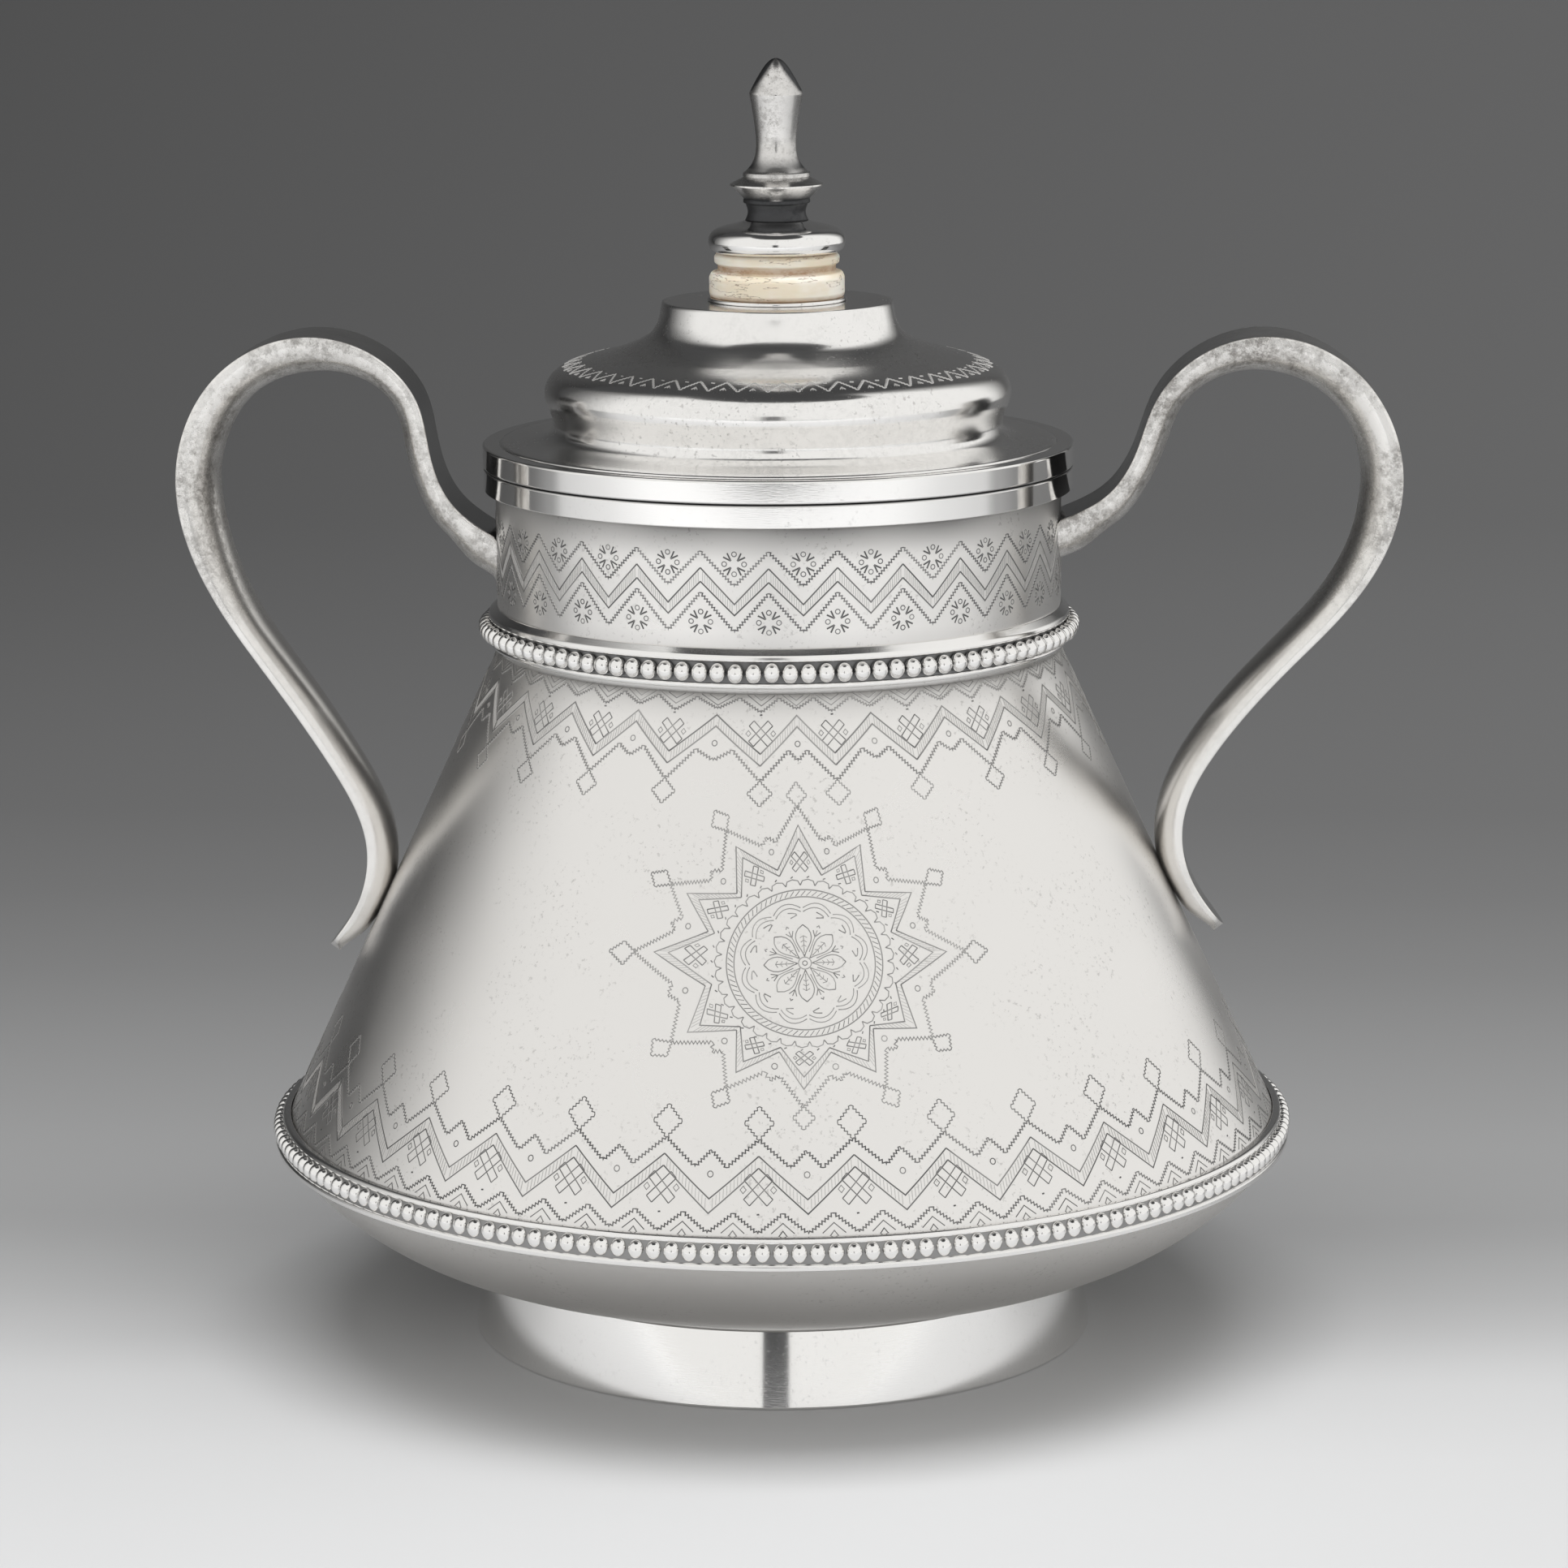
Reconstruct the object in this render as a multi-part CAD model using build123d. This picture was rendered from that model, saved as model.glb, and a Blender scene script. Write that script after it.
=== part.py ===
"""Covered silver sugar bowl with two scroll handles, a lift-off lid and a turned finial.

Frame: millimetres, +Z up, origin on the table at the centre of the foot, handles along X,
engraved front towards -Y. Every turned piece is a closed half-section spun about Z.
"""

import os

from build123d import *

# ---------------------------------------------------------------- driving dimensions (mm)
WALL = 0.8  # sheet of the bowl, base pan and neck
LID_WALL = 0.8  # sheet of the lid

# foot
FOOT_HEIGHT = 10.4
FOOT_BOTTOM_R = 42.9
FOOT_TOP_R = 41.2
FOOT_WALL = 1.1
COLLAR_HEIGHT = 1.3  # wire between the foot and the bowl
COLLAR_OVERHANG = 0.6  # wire beyond the foot's top

# bowl
PAN_HEIGHT = 16.1  # from the collar up to the seam with the cone
PAN_BULGE = 3.6  # how far the pan's curve stands out from its chord
PAN_INSET = 0.4  # pan inside the collar's edge
BODY_HEIGHT = 67.7
BODY_BASE_R = 69.6  # at the seam between the cone and the base pan
NECK_R = 38.45
NECK_HEIGHT = 21.85
RIM_OVERHANG = 1.5  # rim beyond the neck
RIM_HEIGHT = 3.05

# bead mouldings
UPPER_BEAD_RISE = 3.0  # bead above the seam between the cone and the neck
UPPER_BEAD_R = 1.3
UPPER_BEAD_STAND = 2.65  # bead's tip beyond the neck
LOWER_BEAD_RISE = 1.7  # bead above the seam between the cone and the base pan
LOWER_BEAD_R = 1.25
LOWER_BEAD_STAND = 1.05  # bead's tip beyond the seam
WIRE_R = 0.45  # plain wires that run along the beads

# handles: a cast strap, flat on its outer face, rounded inside, narrowing to a leaf tip
BAR_WIDTH = 12.8
BAR_THICKNESS = 5.4  # round the loop
BAR_THINNEST = 3.8  # in the bend above the root and down the leg
BAR_INNER_ROUND = 1.2
ROOT_FLARE = 1.5  # extra thickness where the strap meets the neck
ROOT_DROP = 4.75  # strap's outer face below the top of the neck, at its root
LOOP_RISE = 25.7  # top of the loop above the root
LOOP_REACH = 44.4  # outermost point beyond the neck
SOLDER_RISE = 35.7  # joint between the strap and the cone, above the cone's lower seam
SOLDER_SINK = 0.15  # depth that the strap is let into the bowl there
TIP_DROP = 8.6  # tip below that joint
TIP_SPREAD = 5.2  # tip beyond that joint
TIP_THICKNESS = 1.0
TIP_WIDTH = 3.4
LEFT_LEAN = -1.35  # lean of each loop from the common shape, outwards positive
RIGHT_LEAN = 1.35
LEFT_LIFT = -1.7  # how much higher each strap is soldered on the cone
RIGHT_LIFT = 1.7

# lid
LID_GAP = 0.02  # between the resting faces of the lid and the bowl
LID_OVERHANG = 0.1  # lid's band beyond the rim
LID_BAND_HEIGHT = 3.1
LID_BAND_WIDTH = 2.3
EDGE_BREAK = 0.15  # broken edges on both sides of the lid's seam
FLANGE_WIDTH = 9.75  # from the band's outer face to the dome's waist
FLANGE_RISE = 0.5
LID_WAIST_Z = 5.9  # heights of the lid's curve, above the lid's seam
SHOULDER_SWELL = 1.25  # shoulder beyond the waist
SHOULDER_Z = 10.0
CAVETTO_DROP = 8.0  # hollow curve from the plateau down to the shoulder
PLATEAU_LEDGE = 6.13  # plateau beyond the finial's plate
PLATEAU_Z = 22.1
BEZEL_CLEARANCE = 0.35
BEZEL_WALL = 1.0
BEZEL_DEPTH = 6.0

# finial stack, heights of each piece
PLATE_R = 9.42
PLATE_THICKNESS = 0.5
BONE_LOWER_R = 9.13
BONE_UPPER_R = 8.47
BONE_GROOVE_R = 7.9
BONE_LOWER_HEIGHT = 3.4
BONE_GROOVE_HEIGHT = 1.1
BONE_UPPER_HEIGHT = 1.5
BONE_ROUND = 0.3
BUN_R = 9.3
BUN_HEIGHT = 4.3
KNOB_HEIGHT = 21.6
KNOB_NECK_R = 4.0
KNOB_NECK_HEIGHT = 2.2
KNOB_FILLET = 0.45  # small steps beyond the neck, below and above the disc
KNOB_DISC_R = 6.3
KNOB_DISC_Z = 4.75  # heights within the knob
KNOB_SHAFT_Z = 6.0
KNOB_WAIST_R = 2.72
KNOB_WAIST_Z = 9.8
KNOB_HEAD_R = 3.62
KNOB_HEAD_Z = 16.8
STUD_R = 1.5
STUD_CLEARANCE = 0.1
STUD_GRIP = 4.0  # length of stud inside the knob
WASHER_R = 3.6
WASHER_THICKNESS = 0.5
NUT_ACROSS_FLATS = 5.5
NUT_HEIGHT = 2.4
STUD_END = 0.8  # stud showing below the nut

# ---------------------------------------------------------------- places worked out from them
COLLAR_R = FOOT_TOP_R + COLLAR_OVERHANG
COLLAR_TOP_Z = FOOT_HEIGHT + COLLAR_HEIGHT
BODY_BASE_Z = COLLAR_TOP_Z + PAN_HEIGHT
BODY_TOP_Z = BODY_BASE_Z + BODY_HEIGHT
NECK_TOP_Z = BODY_TOP_Z + NECK_HEIGHT
SEAM_Z = NECK_TOP_Z + RIM_HEIGHT
RIM_R = NECK_R + RIM_OVERHANG
CONE_SLOPE = (BODY_BASE_R - NECK_R) / BODY_HEIGHT
WALL_ACROSS = WALL * (1 + CONE_SLOPE**2) ** 0.5  # the cone's sheet measured along a radius

UPPER_BEAD_Z = BODY_TOP_Z + UPPER_BEAD_RISE
UPPER_BEAD_CENTRE_R = NECK_R + UPPER_BEAD_STAND - UPPER_BEAD_R
LOWER_BEAD_Z = BODY_BASE_Z + LOWER_BEAD_RISE
LOWER_BEAD_CENTRE_R = BODY_BASE_R + LOWER_BEAD_STAND - LOWER_BEAD_R

ROOT_Z = NECK_TOP_Z - ROOT_DROP
SOLDER_Z = BODY_BASE_Z + SOLDER_RISE
LEG_DROP = ROOT_Z - SOLDER_Z

LID_Z = SEAM_Z + LID_GAP
LID_BAND_R = RIM_R + LID_OVERHANG
BAND_INNER_R = LID_BAND_R - LID_BAND_WIDTH
LID_WAIST_R = LID_BAND_R - FLANGE_WIDTH
SHOULDER_R = LID_WAIST_R + SHOULDER_SWELL
PLATEAU_R = PLATE_R + PLATEAU_LEDGE
CAVETTO_REACH = 0.7 * (SHOULDER_R - PLATEAU_R)
PLATEAU_TOP = LID_Z + PLATEAU_Z
PLATE_TOP = PLATEAU_TOP + PLATE_THICKNESS
BONE_TOP = PLATE_TOP + BONE_LOWER_HEIGHT + BONE_GROOVE_HEIGHT + BONE_UPPER_HEIGHT
BUN_TOP = BONE_TOP + BUN_HEIGHT
BUN_TOP_R = KNOB_NECK_R + 0.3
KNOB_TOP = BUN_TOP + KNOB_HEIGHT


def cone_r(z):
    """Outer radius of the conical bowl at a height."""
    return BODY_BASE_R - CONE_SLOPE * (z - BODY_BASE_Z)


def at(radius, height):
    """A point of a half-section."""
    return Vector(radius, 0, height)


def turned(*edges):
    """Spin a closed half-section, given as edges, about Z."""
    return revolve(make_face(Wire(list(edges))), Axis.Z, 360)


def polygon_turned(*points):
    """Spin a straight-sided half-section about Z."""
    corners = [at(*p) for p in points]
    edges = [Line(a, b).edge() for a, b in zip(corners, corners[1:] + corners[:1])]
    return turned(*edges)


def wire_ring(radius, height, thickness_r):
    """A round wire bent into a ring."""
    return Pos(0, 0, height) * Torus(radius, thickness_r)


# ---------------------------------------------------------------- foot
def foot_ring():
    return polygon_turned(
        (FOOT_BOTTOM_R, 0),
        (FOOT_TOP_R, FOOT_HEIGHT),
        (FOOT_TOP_R - FOOT_WALL, FOOT_HEIGHT),
        (FOOT_BOTTOM_R - 2 * FOOT_WALL, FOOT_WALL),
        (FOOT_BOTTOM_R - 2 * FOOT_WALL, 0),
    )


def foot_collar():
    ring = polygon_turned(
        (COLLAR_R, FOOT_HEIGHT),
        (COLLAR_R, COLLAR_TOP_Z),
        (FOOT_TOP_R - FOOT_WALL, COLLAR_TOP_Z),
        (FOOT_TOP_R - FOOT_WALL, FOOT_HEIGHT),
    )
    rim = ring.edges().filter_by(GeomType.CIRCLE).group_by(SortBy.RADIUS)[-1]
    return fillet(rim, COLLAR_HEIGHT * 0.35)


# ---------------------------------------------------------------- bowl
def pan_curve(inset):
    """The base pan's curve from the collar out to the cone's seam, moved in by inset."""
    low = at(COLLAR_R - PAN_INSET, COLLAR_TOP_Z + inset)
    high = at(BODY_BASE_R - inset * WALL_ACROSS / WALL, BODY_BASE_Z)
    chord = high - low
    out = Vector(chord.Z, 0, -chord.X).normalized()
    middle = low + chord * 0.55 + out * PAN_BULGE
    return ThreePointArc(low, middle, high).edge()


def base_pan():
    outer = pan_curve(0)
    inner = pan_curve(WALL)
    low_out, high_out = outer @ 0, outer @ 1
    low_in, high_in = inner @ 0, inner @ 1
    centre_low = at(0, low_out.Z)
    centre_high = at(0, low_in.Z)
    return turned(
        Line(centre_low, low_out).edge(),
        outer,
        Line(high_out, high_in).edge(),
        inner,
        Line(low_in, centre_high).edge(),
        Line(centre_high, centre_low).edge(),
    )


def body_shell():
    return polygon_turned(
        (BODY_BASE_R, BODY_BASE_Z),
        (NECK_R, BODY_TOP_Z),
        (NECK_R - WALL, BODY_TOP_Z),
        (BODY_BASE_R - WALL_ACROSS, BODY_BASE_Z),
    )


def neck_collar():
    return polygon_turned(
        (NECK_R, BODY_TOP_Z),
        (NECK_R, NECK_TOP_Z),
        (NECK_R - WALL, NECK_TOP_Z),
        (NECK_R - WALL, BODY_TOP_Z),
    )


def bowl_rim():
    return polygon_turned(
        (NECK_R - WALL, NECK_TOP_Z),
        (RIM_R, NECK_TOP_Z),
        (RIM_R, SEAM_Z - EDGE_BREAK),
        (RIM_R - EDGE_BREAK, SEAM_Z),
        (NECK_R - WALL, SEAM_Z),
    )


def bowl_solid():
    """Everything inside the outer skin of the cone and neck, to trim what lies against it."""
    return polygon_turned(
        (0, BODY_BASE_Z),
        (BODY_BASE_R, BODY_BASE_Z),
        (NECK_R, BODY_TOP_Z),
        (NECK_R, NECK_TOP_Z),
        (0, NECK_TOP_Z),
    )


def upper_bead_moulding():
    bead = wire_ring(UPPER_BEAD_CENTRE_R, UPPER_BEAD_Z, UPPER_BEAD_R)
    strip = polygon_turned(
        (NECK_R - WALL / 2, UPPER_BEAD_Z - UPPER_BEAD_R - 2 * WIRE_R),
        (NECK_R + WALL, UPPER_BEAD_Z - UPPER_BEAD_R - 2 * WIRE_R),
        (NECK_R + WALL, UPPER_BEAD_Z + UPPER_BEAD_R + 2 * WIRE_R),
        (NECK_R, UPPER_BEAD_Z + UPPER_BEAD_R + 4 * WIRE_R),
        (NECK_R - WALL / 2, UPPER_BEAD_Z + UPPER_BEAD_R + 4 * WIRE_R),
    )
    reach = UPPER_BEAD_R + WIRE_R
    wires = [wire_ring(NECK_R + WALL, UPPER_BEAD_Z + side * reach, WIRE_R) for side in (-1, 1)]
    return strip + bead + wires - bowl_solid()


def lower_bead_moulding():
    centre_r = LOWER_BEAD_CENTRE_R
    bead = wire_ring(centre_r, LOWER_BEAD_Z, LOWER_BEAD_R)
    top_wire = wire_ring(centre_r - WIRE_R, LOWER_BEAD_Z + LOWER_BEAD_R + WIRE_R / 2, WIRE_R)
    strip = polygon_turned(
        (BODY_BASE_R - WALL, BODY_BASE_Z),
        (centre_r + LOWER_BEAD_R / 2, BODY_BASE_Z - WIRE_R),
        (centre_r + LOWER_BEAD_R / 2, LOWER_BEAD_Z),
        (centre_r - WIRE_R, LOWER_BEAD_Z + LOWER_BEAD_R + WIRE_R),
        (cone_r(LOWER_BEAD_Z + LOWER_BEAD_R + WIRE_R), LOWER_BEAD_Z + LOWER_BEAD_R + WIRE_R),
    )
    pan_space = Pos(0, 0, BODY_BASE_Z / 2) * Cylinder(BODY_BASE_R, BODY_BASE_Z)
    return strip + bead + top_wire - bowl_solid() - pan_space


# ---------------------------------------------------------------- handles
def strap_face(lean, lift, inset):
    """The strap's outer face, seen from the side at +X, from its root to its tip."""
    rest_r = cone_r(SOLDER_Z) + BAR_THINNEST - inset
    stations = [
        # radius, height, share of the lean, share of the lift
        (NECK_R - WALL / 2, ROOT_Z - 0.012 * LOOP_RISE, 0, 0.7),
        (NECK_R + 0.129 * LOOP_REACH, ROOT_Z + 0.140 * LOOP_RISE, 0.25, 0.4),
        (NECK_R + 0.204 * LOOP_REACH, ROOT_Z + 0.381 * LOOP_RISE, 0.6, 0.15),
        (NECK_R + 0.249 * LOOP_REACH, ROOT_Z + 0.646 * LOOP_RISE, 0.9, 0),
        (NECK_R + 0.350 * LOOP_REACH, ROOT_Z + 0.860 * LOOP_RISE, 1, 0),
        (NECK_R + 0.575 * LOOP_REACH, ROOT_Z + LOOP_RISE, 1, 0),
        (NECK_R + 0.866 * LOOP_REACH, ROOT_Z + 0.790 * LOOP_RISE, 1, 0),
        (NECK_R + LOOP_REACH, ROOT_Z + 0.230 * LOOP_RISE, 1, 0),
        (NECK_R + 0.934 * LOOP_REACH, ROOT_Z - 0.226 * LOOP_RISE, 0.85, 0.2),
        (NECK_R + 0.700 * LOOP_REACH, SOLDER_Z + 0.587 * LEG_DROP, 0.4, 0.6),
        (cone_r(SOLDER_Z) + 0.164 * LOOP_REACH, SOLDER_Z + 0.338 * LEG_DROP, 0.1, 0.95),
        (rest_r - 0.115 * TIP_SPREAD, SOLDER_Z + 0.122 * LEG_DROP, 0, 1),
        (rest_r + 0.173 * TIP_SPREAD, SOLDER_Z - 0.256 * TIP_DROP, 0, 1),
        (rest_r + TIP_SPREAD, SOLDER_Z - TIP_DROP, 0, 1),
    ]
    points = []
    for r, z, lean_share, lift_share in stations:
        slope = CONE_SLOPE if z < BODY_TOP_Z else 0
        rise = lift * lift_share
        points.append(at(r + lean * lean_share - rise * slope, z + rise))
    return Spline(points).edge()


def strap_thickness(share):
    """Thickness along the strap: flared root, full loop, slimmer leg, thin tip."""
    knots = [
        (0.00, BAR_THINNEST + ROOT_FLARE),
        (0.04, BAR_THINNEST + 0.3 * ROOT_FLARE),
        (0.08, BAR_THINNEST),
        (0.15, BAR_THINNEST),
        (0.30, BAR_THICKNESS),
        (0.50, BAR_THICKNESS),
        (0.66, BAR_THINNEST),
        (0.91, BAR_THINNEST),
        (0.96, 0.72 * BAR_THINNEST),
        (1.00, TIP_THICKNESS),
    ]
    for (s0, t0), (s1, t1) in zip(knots, knots[1:]):
        if share <= s1:
            run = (share - s0) / (s1 - s0)
            return t0 + (t1 - t0) * run * run * (3 - 2 * run)
    return TIP_THICKNESS


def inner_point(face, share):
    """The point of the strap's inner side that faces a point of its outer side."""
    along = face % share
    return face @ share + Vector(along.Z, 0, -along.X) * strap_thickness(share)


def soldered_face(lean, lift):
    """The strap's outer face with its lower bend moved in until it is let into the cone."""
    inset = SOLDER_SINK
    for _ in range(4):
        face = strap_face(lean, lift, inset)
        lower_bend = [inner_point(face, 0.7 + 0.003 * i) for i in range(100)]
        inset += min(p.X - cone_r(p.Z) for p in lower_bend) + SOLDER_SINK
    return face


def handle(lean, lift):
    face = soldered_face(lean, lift)
    steps = 36
    inner = [inner_point(face, i / steps) for i in range(steps + 1)]
    outline = Wire(
        [
            face,
            Line(face @ 1, inner[-1]).edge(),
            Spline(inner[::-1]).edge(),
            Line(inner[0], face @ 0).edge(),
        ]
    )
    strap = extrude(make_face(outline), BAR_WIDTH / 2, dir=(0, 1, 0), both=True)
    inner_mid = inner[steps // 2]
    rails = strap.edges().filter_by(GeomType.BSPLINE)
    rails = rails.sort_by(lambda e: e.distance_to(inner_mid + Vector(0, e.center().Y, 0)))[:2]
    strap = fillet(rails, BAR_INNER_ROUND)
    strap = strap & leaf_outline(lift)
    return strap - bowl_solid()


def leaf_outline(lift):
    """What is left of the strap's width from the side: full above, tapering to the tip."""
    low = SOLDER_Z - 1.35 * TIP_DROP + lift
    taper_low = SOLDER_Z + lift
    taper_high = ROOT_Z - LOOP_RISE / 2
    half, tip = BAR_WIDTH / 2, TIP_WIDTH / 2
    side = [
        (tip, low),
        (half * 0.72, taper_low),
        (half, taper_high),
        (half, ROOT_Z + 2 * LOOP_RISE),
    ]
    corners = [Vector(0, y, z) for y, z in side] + [Vector(0, -y, z) for y, z in side[::-1]]
    edges = [Line(a, b).edge() for a, b in zip(corners, corners[1:] + corners[:1])]
    return extrude(make_face(Wire(edges)), RIM_R + 2 * LOOP_REACH, dir=(1, 0, 0))


# ---------------------------------------------------------------- lid
def lid_skin(inset):
    """Half-section of the lid from the plateau's rim down to the flange, moved in by inset."""
    low = LID_Z + LID_BAND_HEIGHT - inset
    plateau = Line(at(0, PLATEAU_TOP - inset), at(PLATEAU_R - inset, PLATEAU_TOP - inset)).edge()
    cavetto = Spline(
        [
            at(PLATEAU_R - inset, PLATEAU_TOP - inset),
            at(
                PLATEAU_R + 0.054 * CAVETTO_REACH - inset,
                PLATEAU_TOP - 0.35 * CAVETTO_DROP - inset * 0.6,
            ),
            at(
                PLATEAU_R + 0.25 * CAVETTO_REACH - inset * 0.7,
                PLATEAU_TOP - 0.64 * CAVETTO_DROP - inset,
            ),
            at(PLATEAU_R + 0.59 * CAVETTO_REACH, PLATEAU_TOP - 0.85 * CAVETTO_DROP - inset),
            at(PLATEAU_R + CAVETTO_REACH, PLATEAU_TOP - CAVETTO_DROP - inset),
            at(SHOULDER_R - 1.8 - inset * 0.5, LID_Z + SHOULDER_Z + 2.9 - inset * 0.9),
            at(SHOULDER_R - inset, LID_Z + SHOULDER_Z),
            at(LID_WAIST_R + 0.5 - inset, LID_Z + LID_WAIST_Z + 1.6),
            at(LID_WAIST_R - inset, LID_Z + LID_WAIST_Z),
            at(LID_WAIST_R + 0.8 - inset, LID_Z + LID_WAIST_Z - 1.3 - inset * 0.3),
            at(LID_WAIST_R + 3.2 - inset * 0.4, low + FLANGE_RISE + 0.15),
        ],
        tangents=[(0.12, 0, -1), (1, 0, -0.16)],
    ).edge()
    return plateau, cavetto, low


def flange_under_z(radius):
    """Height of the flange's underside, which rises from the band to the dome's waist."""
    under, inner, low = lid_skin(LID_WALL)
    waist = inner @ 1
    return low + (waist.Z - low) * (BAND_INNER_R - radius) / (BAND_INNER_R - waist.X)


def lid_dome():
    top, outer, high = lid_skin(0)
    under, inner, low = lid_skin(LID_WALL)
    outer_end, inner_end = outer @ 1, inner @ 1
    stud_hole = STUD_R + STUD_CLEARANCE
    skin = turned(
        top,
        outer,
        Line(outer_end, at(BAND_INNER_R, high)).edge(),
        Line(at(BAND_INNER_R, high), at(BAND_INNER_R, low)).edge(),
        Line(at(BAND_INNER_R, low), inner_end).edge(),
        inner,
        under,
        Line(at(0, PLATEAU_TOP - LID_WALL), at(0, PLATEAU_TOP)).edge(),
    )
    return skin - Pos(0, 0, PLATEAU_TOP) * Cylinder(stud_hole, 4 * LID_WALL)


def lid_rim_band():
    top = LID_Z + LID_BAND_HEIGHT
    return polygon_turned(
        (BAND_INNER_R, LID_Z),
        (LID_BAND_R - EDGE_BREAK, LID_Z),
        (LID_BAND_R, LID_Z + EDGE_BREAK),
        (LID_BAND_R, top - 2 * EDGE_BREAK),
        (LID_BAND_R - 2 * EDGE_BREAK, top),
        (BAND_INNER_R, top),
    )


def lid_bezel():
    outer = NECK_R - WALL - BEZEL_CLEARANCE
    inner = outer - BEZEL_WALL
    return polygon_turned(
        (outer, flange_under_z(outer)),
        (inner, flange_under_z(inner)),
        (inner, SEAM_Z - BEZEL_DEPTH),
        (outer - 2 * EDGE_BREAK, SEAM_Z - BEZEL_DEPTH),
        (outer, SEAM_Z - BEZEL_DEPTH + 2 * EDGE_BREAK),
    )


# ---------------------------------------------------------------- finial
def bored(solid, low, high, radius=STUD_R + STUD_CLEARANCE):
    """Bore a solid along Z between two heights."""
    return solid - Pos(0, 0, (low + high) / 2) * Cylinder(radius, high - low)


def finial_plate():
    disc = Pos(0, 0, PLATEAU_TOP + PLATE_THICKNESS / 2) * Cylinder(PLATE_R, PLATE_THICKNESS)
    return bored(disc, PLATEAU_TOP - 1, PLATE_TOP + 1)


def bone_insulator():
    groove_low = PLATE_TOP + BONE_LOWER_HEIGHT
    groove_high = groove_low + BONE_GROOVE_HEIGHT
    ring = polygon_turned(
        (0, PLATE_TOP),
        (BONE_LOWER_R, PLATE_TOP),
        (BONE_LOWER_R, groove_low),
        (BONE_GROOVE_R, groove_low),
        (BONE_GROOVE_R, groove_high),
        (BONE_UPPER_R, groove_high),
        (BONE_UPPER_R, BONE_TOP),
        (0, BONE_TOP),
    )
    corners = ring.edges().filter_by(GeomType.CIRCLE)
    corners = corners.filter_by(lambda e: e.radius > BONE_GROOVE_R + 0.1 and e.center().Z > PLATE_TOP)
    ring = fillet(corners.filter_by(lambda e: e.center().Z < BONE_TOP - 0.1), BONE_ROUND)
    return bored(ring, PLATE_TOP - 1, BONE_TOP + 1)


def finial_bun():
    side = Spline(
        [
            at(BONE_UPPER_R, BONE_TOP),
            at(BUN_R, BONE_TOP + BUN_HEIGHT * 0.36),
            at(BUN_R * 0.8, BONE_TOP + BUN_HEIGHT * 0.78),
            at(BUN_TOP_R, BUN_TOP),
        ],
        tangents=[(0.9, 0, 0.6), (-1, 0, 0.3)],
    ).edge()
    bun = turned(
        Line(at(0, BONE_TOP), at(BONE_UPPER_R, BONE_TOP)).edge(),
        side,
        Line(at(BUN_TOP_R, BUN_TOP), at(0, BUN_TOP)).edge(),
        Line(at(0, BUN_TOP), at(0, BONE_TOP)).edge(),
    )
    return bored(bun, BONE_TOP - 1, BUN_TOP + 1)


def finial_knob():
    """Neck, sharp disc, waist and pointed head, turned in one piece."""
    z = BUN_TOP
    foot_r = KNOB_NECK_R + 0.25
    fillet_r = KNOB_NECK_R + KNOB_FILLET
    step = KNOB_DISC_Z - KNOB_NECK_HEIGHT
    neck = ThreePointArc(
        at(foot_r, z), at(KNOB_NECK_R - 0.1, z + KNOB_NECK_HEIGHT / 2), at(foot_r, z + KNOB_NECK_HEIGHT)
    ).edge()
    steps = [
        at(foot_r, z + KNOB_NECK_HEIGHT),
        at(fillet_r, z + KNOB_NECK_HEIGHT + 0.25 * step),
        at(KNOB_DISC_R, z + KNOB_DISC_Z - 0.1),
        at(KNOB_DISC_R - 0.1, z + KNOB_DISC_Z + 0.15),
        at(fillet_r + 0.1, z + KNOB_SHAFT_Z - 0.35),
        at(fillet_r, z + KNOB_SHAFT_Z),
    ]
    swell = Spline(
        [
            at(fillet_r, z + KNOB_SHAFT_Z),
            at(KNOB_WAIST_R + 0.45, z + (KNOB_SHAFT_Z + KNOB_WAIST_Z) / 2),
            at(KNOB_WAIST_R, z + KNOB_WAIST_Z),
        ],
        tangents=[(-1, 0, 0.1), (0, 0, 1)],
    ).edge()
    shaft = Spline(
        [
            at(KNOB_WAIST_R, z + KNOB_WAIST_Z),
            at(KNOB_HEAD_R - 0.25, z + 0.3 * KNOB_WAIST_Z + 0.7 * KNOB_HEAD_Z),
            at(KNOB_HEAD_R, z + KNOB_HEAD_Z),
        ],
        tangents=[(0, 0, 1), (0.05, 0, 1)],
    ).edge()
    head = Spline(
        [
            at(KNOB_HEAD_R, z + KNOB_HEAD_Z),
            at(KNOB_HEAD_R * 0.62, z + 0.38 * KNOB_HEAD_Z + 0.62 * KNOB_HEIGHT),
            at(0, KNOB_TOP),
        ],
        tangents=[(-0.35, 0, 1), (-1, 0, 0.15)],
    ).edge()
    knob = turned(
        Line(at(0, z), at(foot_r, z)).edge(),
        neck,
        *[Line(a, b).edge() for a, b in zip(steps, steps[1:])],
        swell,
        shaft,
        head,
        Line(at(0, KNOB_TOP), at(0, z)).edge(),
    )
    return bored(knob, BUN_TOP - 1, BUN_TOP + STUD_GRIP, STUD_R)


def finial_washer():
    top = PLATEAU_TOP - LID_WALL
    disc = Pos(0, 0, top - WASHER_THICKNESS / 2) * Cylinder(WASHER_R, WASHER_THICKNESS)
    return bored(disc, top - 2, top + 1)


def finial_nut():
    top = PLATEAU_TOP - LID_WALL - WASHER_THICKNESS
    hexagon = RegularPolygon(NUT_ACROSS_FLATS / 2, 6, major_radius=False)
    nut = Pos(0, 0, top - NUT_HEIGHT) * extrude(hexagon, NUT_HEIGHT)
    return bored(nut, top - NUT_HEIGHT - 1, top + 1, STUD_R)


def finial_stud():
    low = PLATEAU_TOP - LID_WALL - WASHER_THICKNESS - NUT_HEIGHT - STUD_END
    high = BUN_TOP + STUD_GRIP
    return Pos(0, 0, (low + high) / 2) * Cylinder(STUD_R, high - low)


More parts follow.
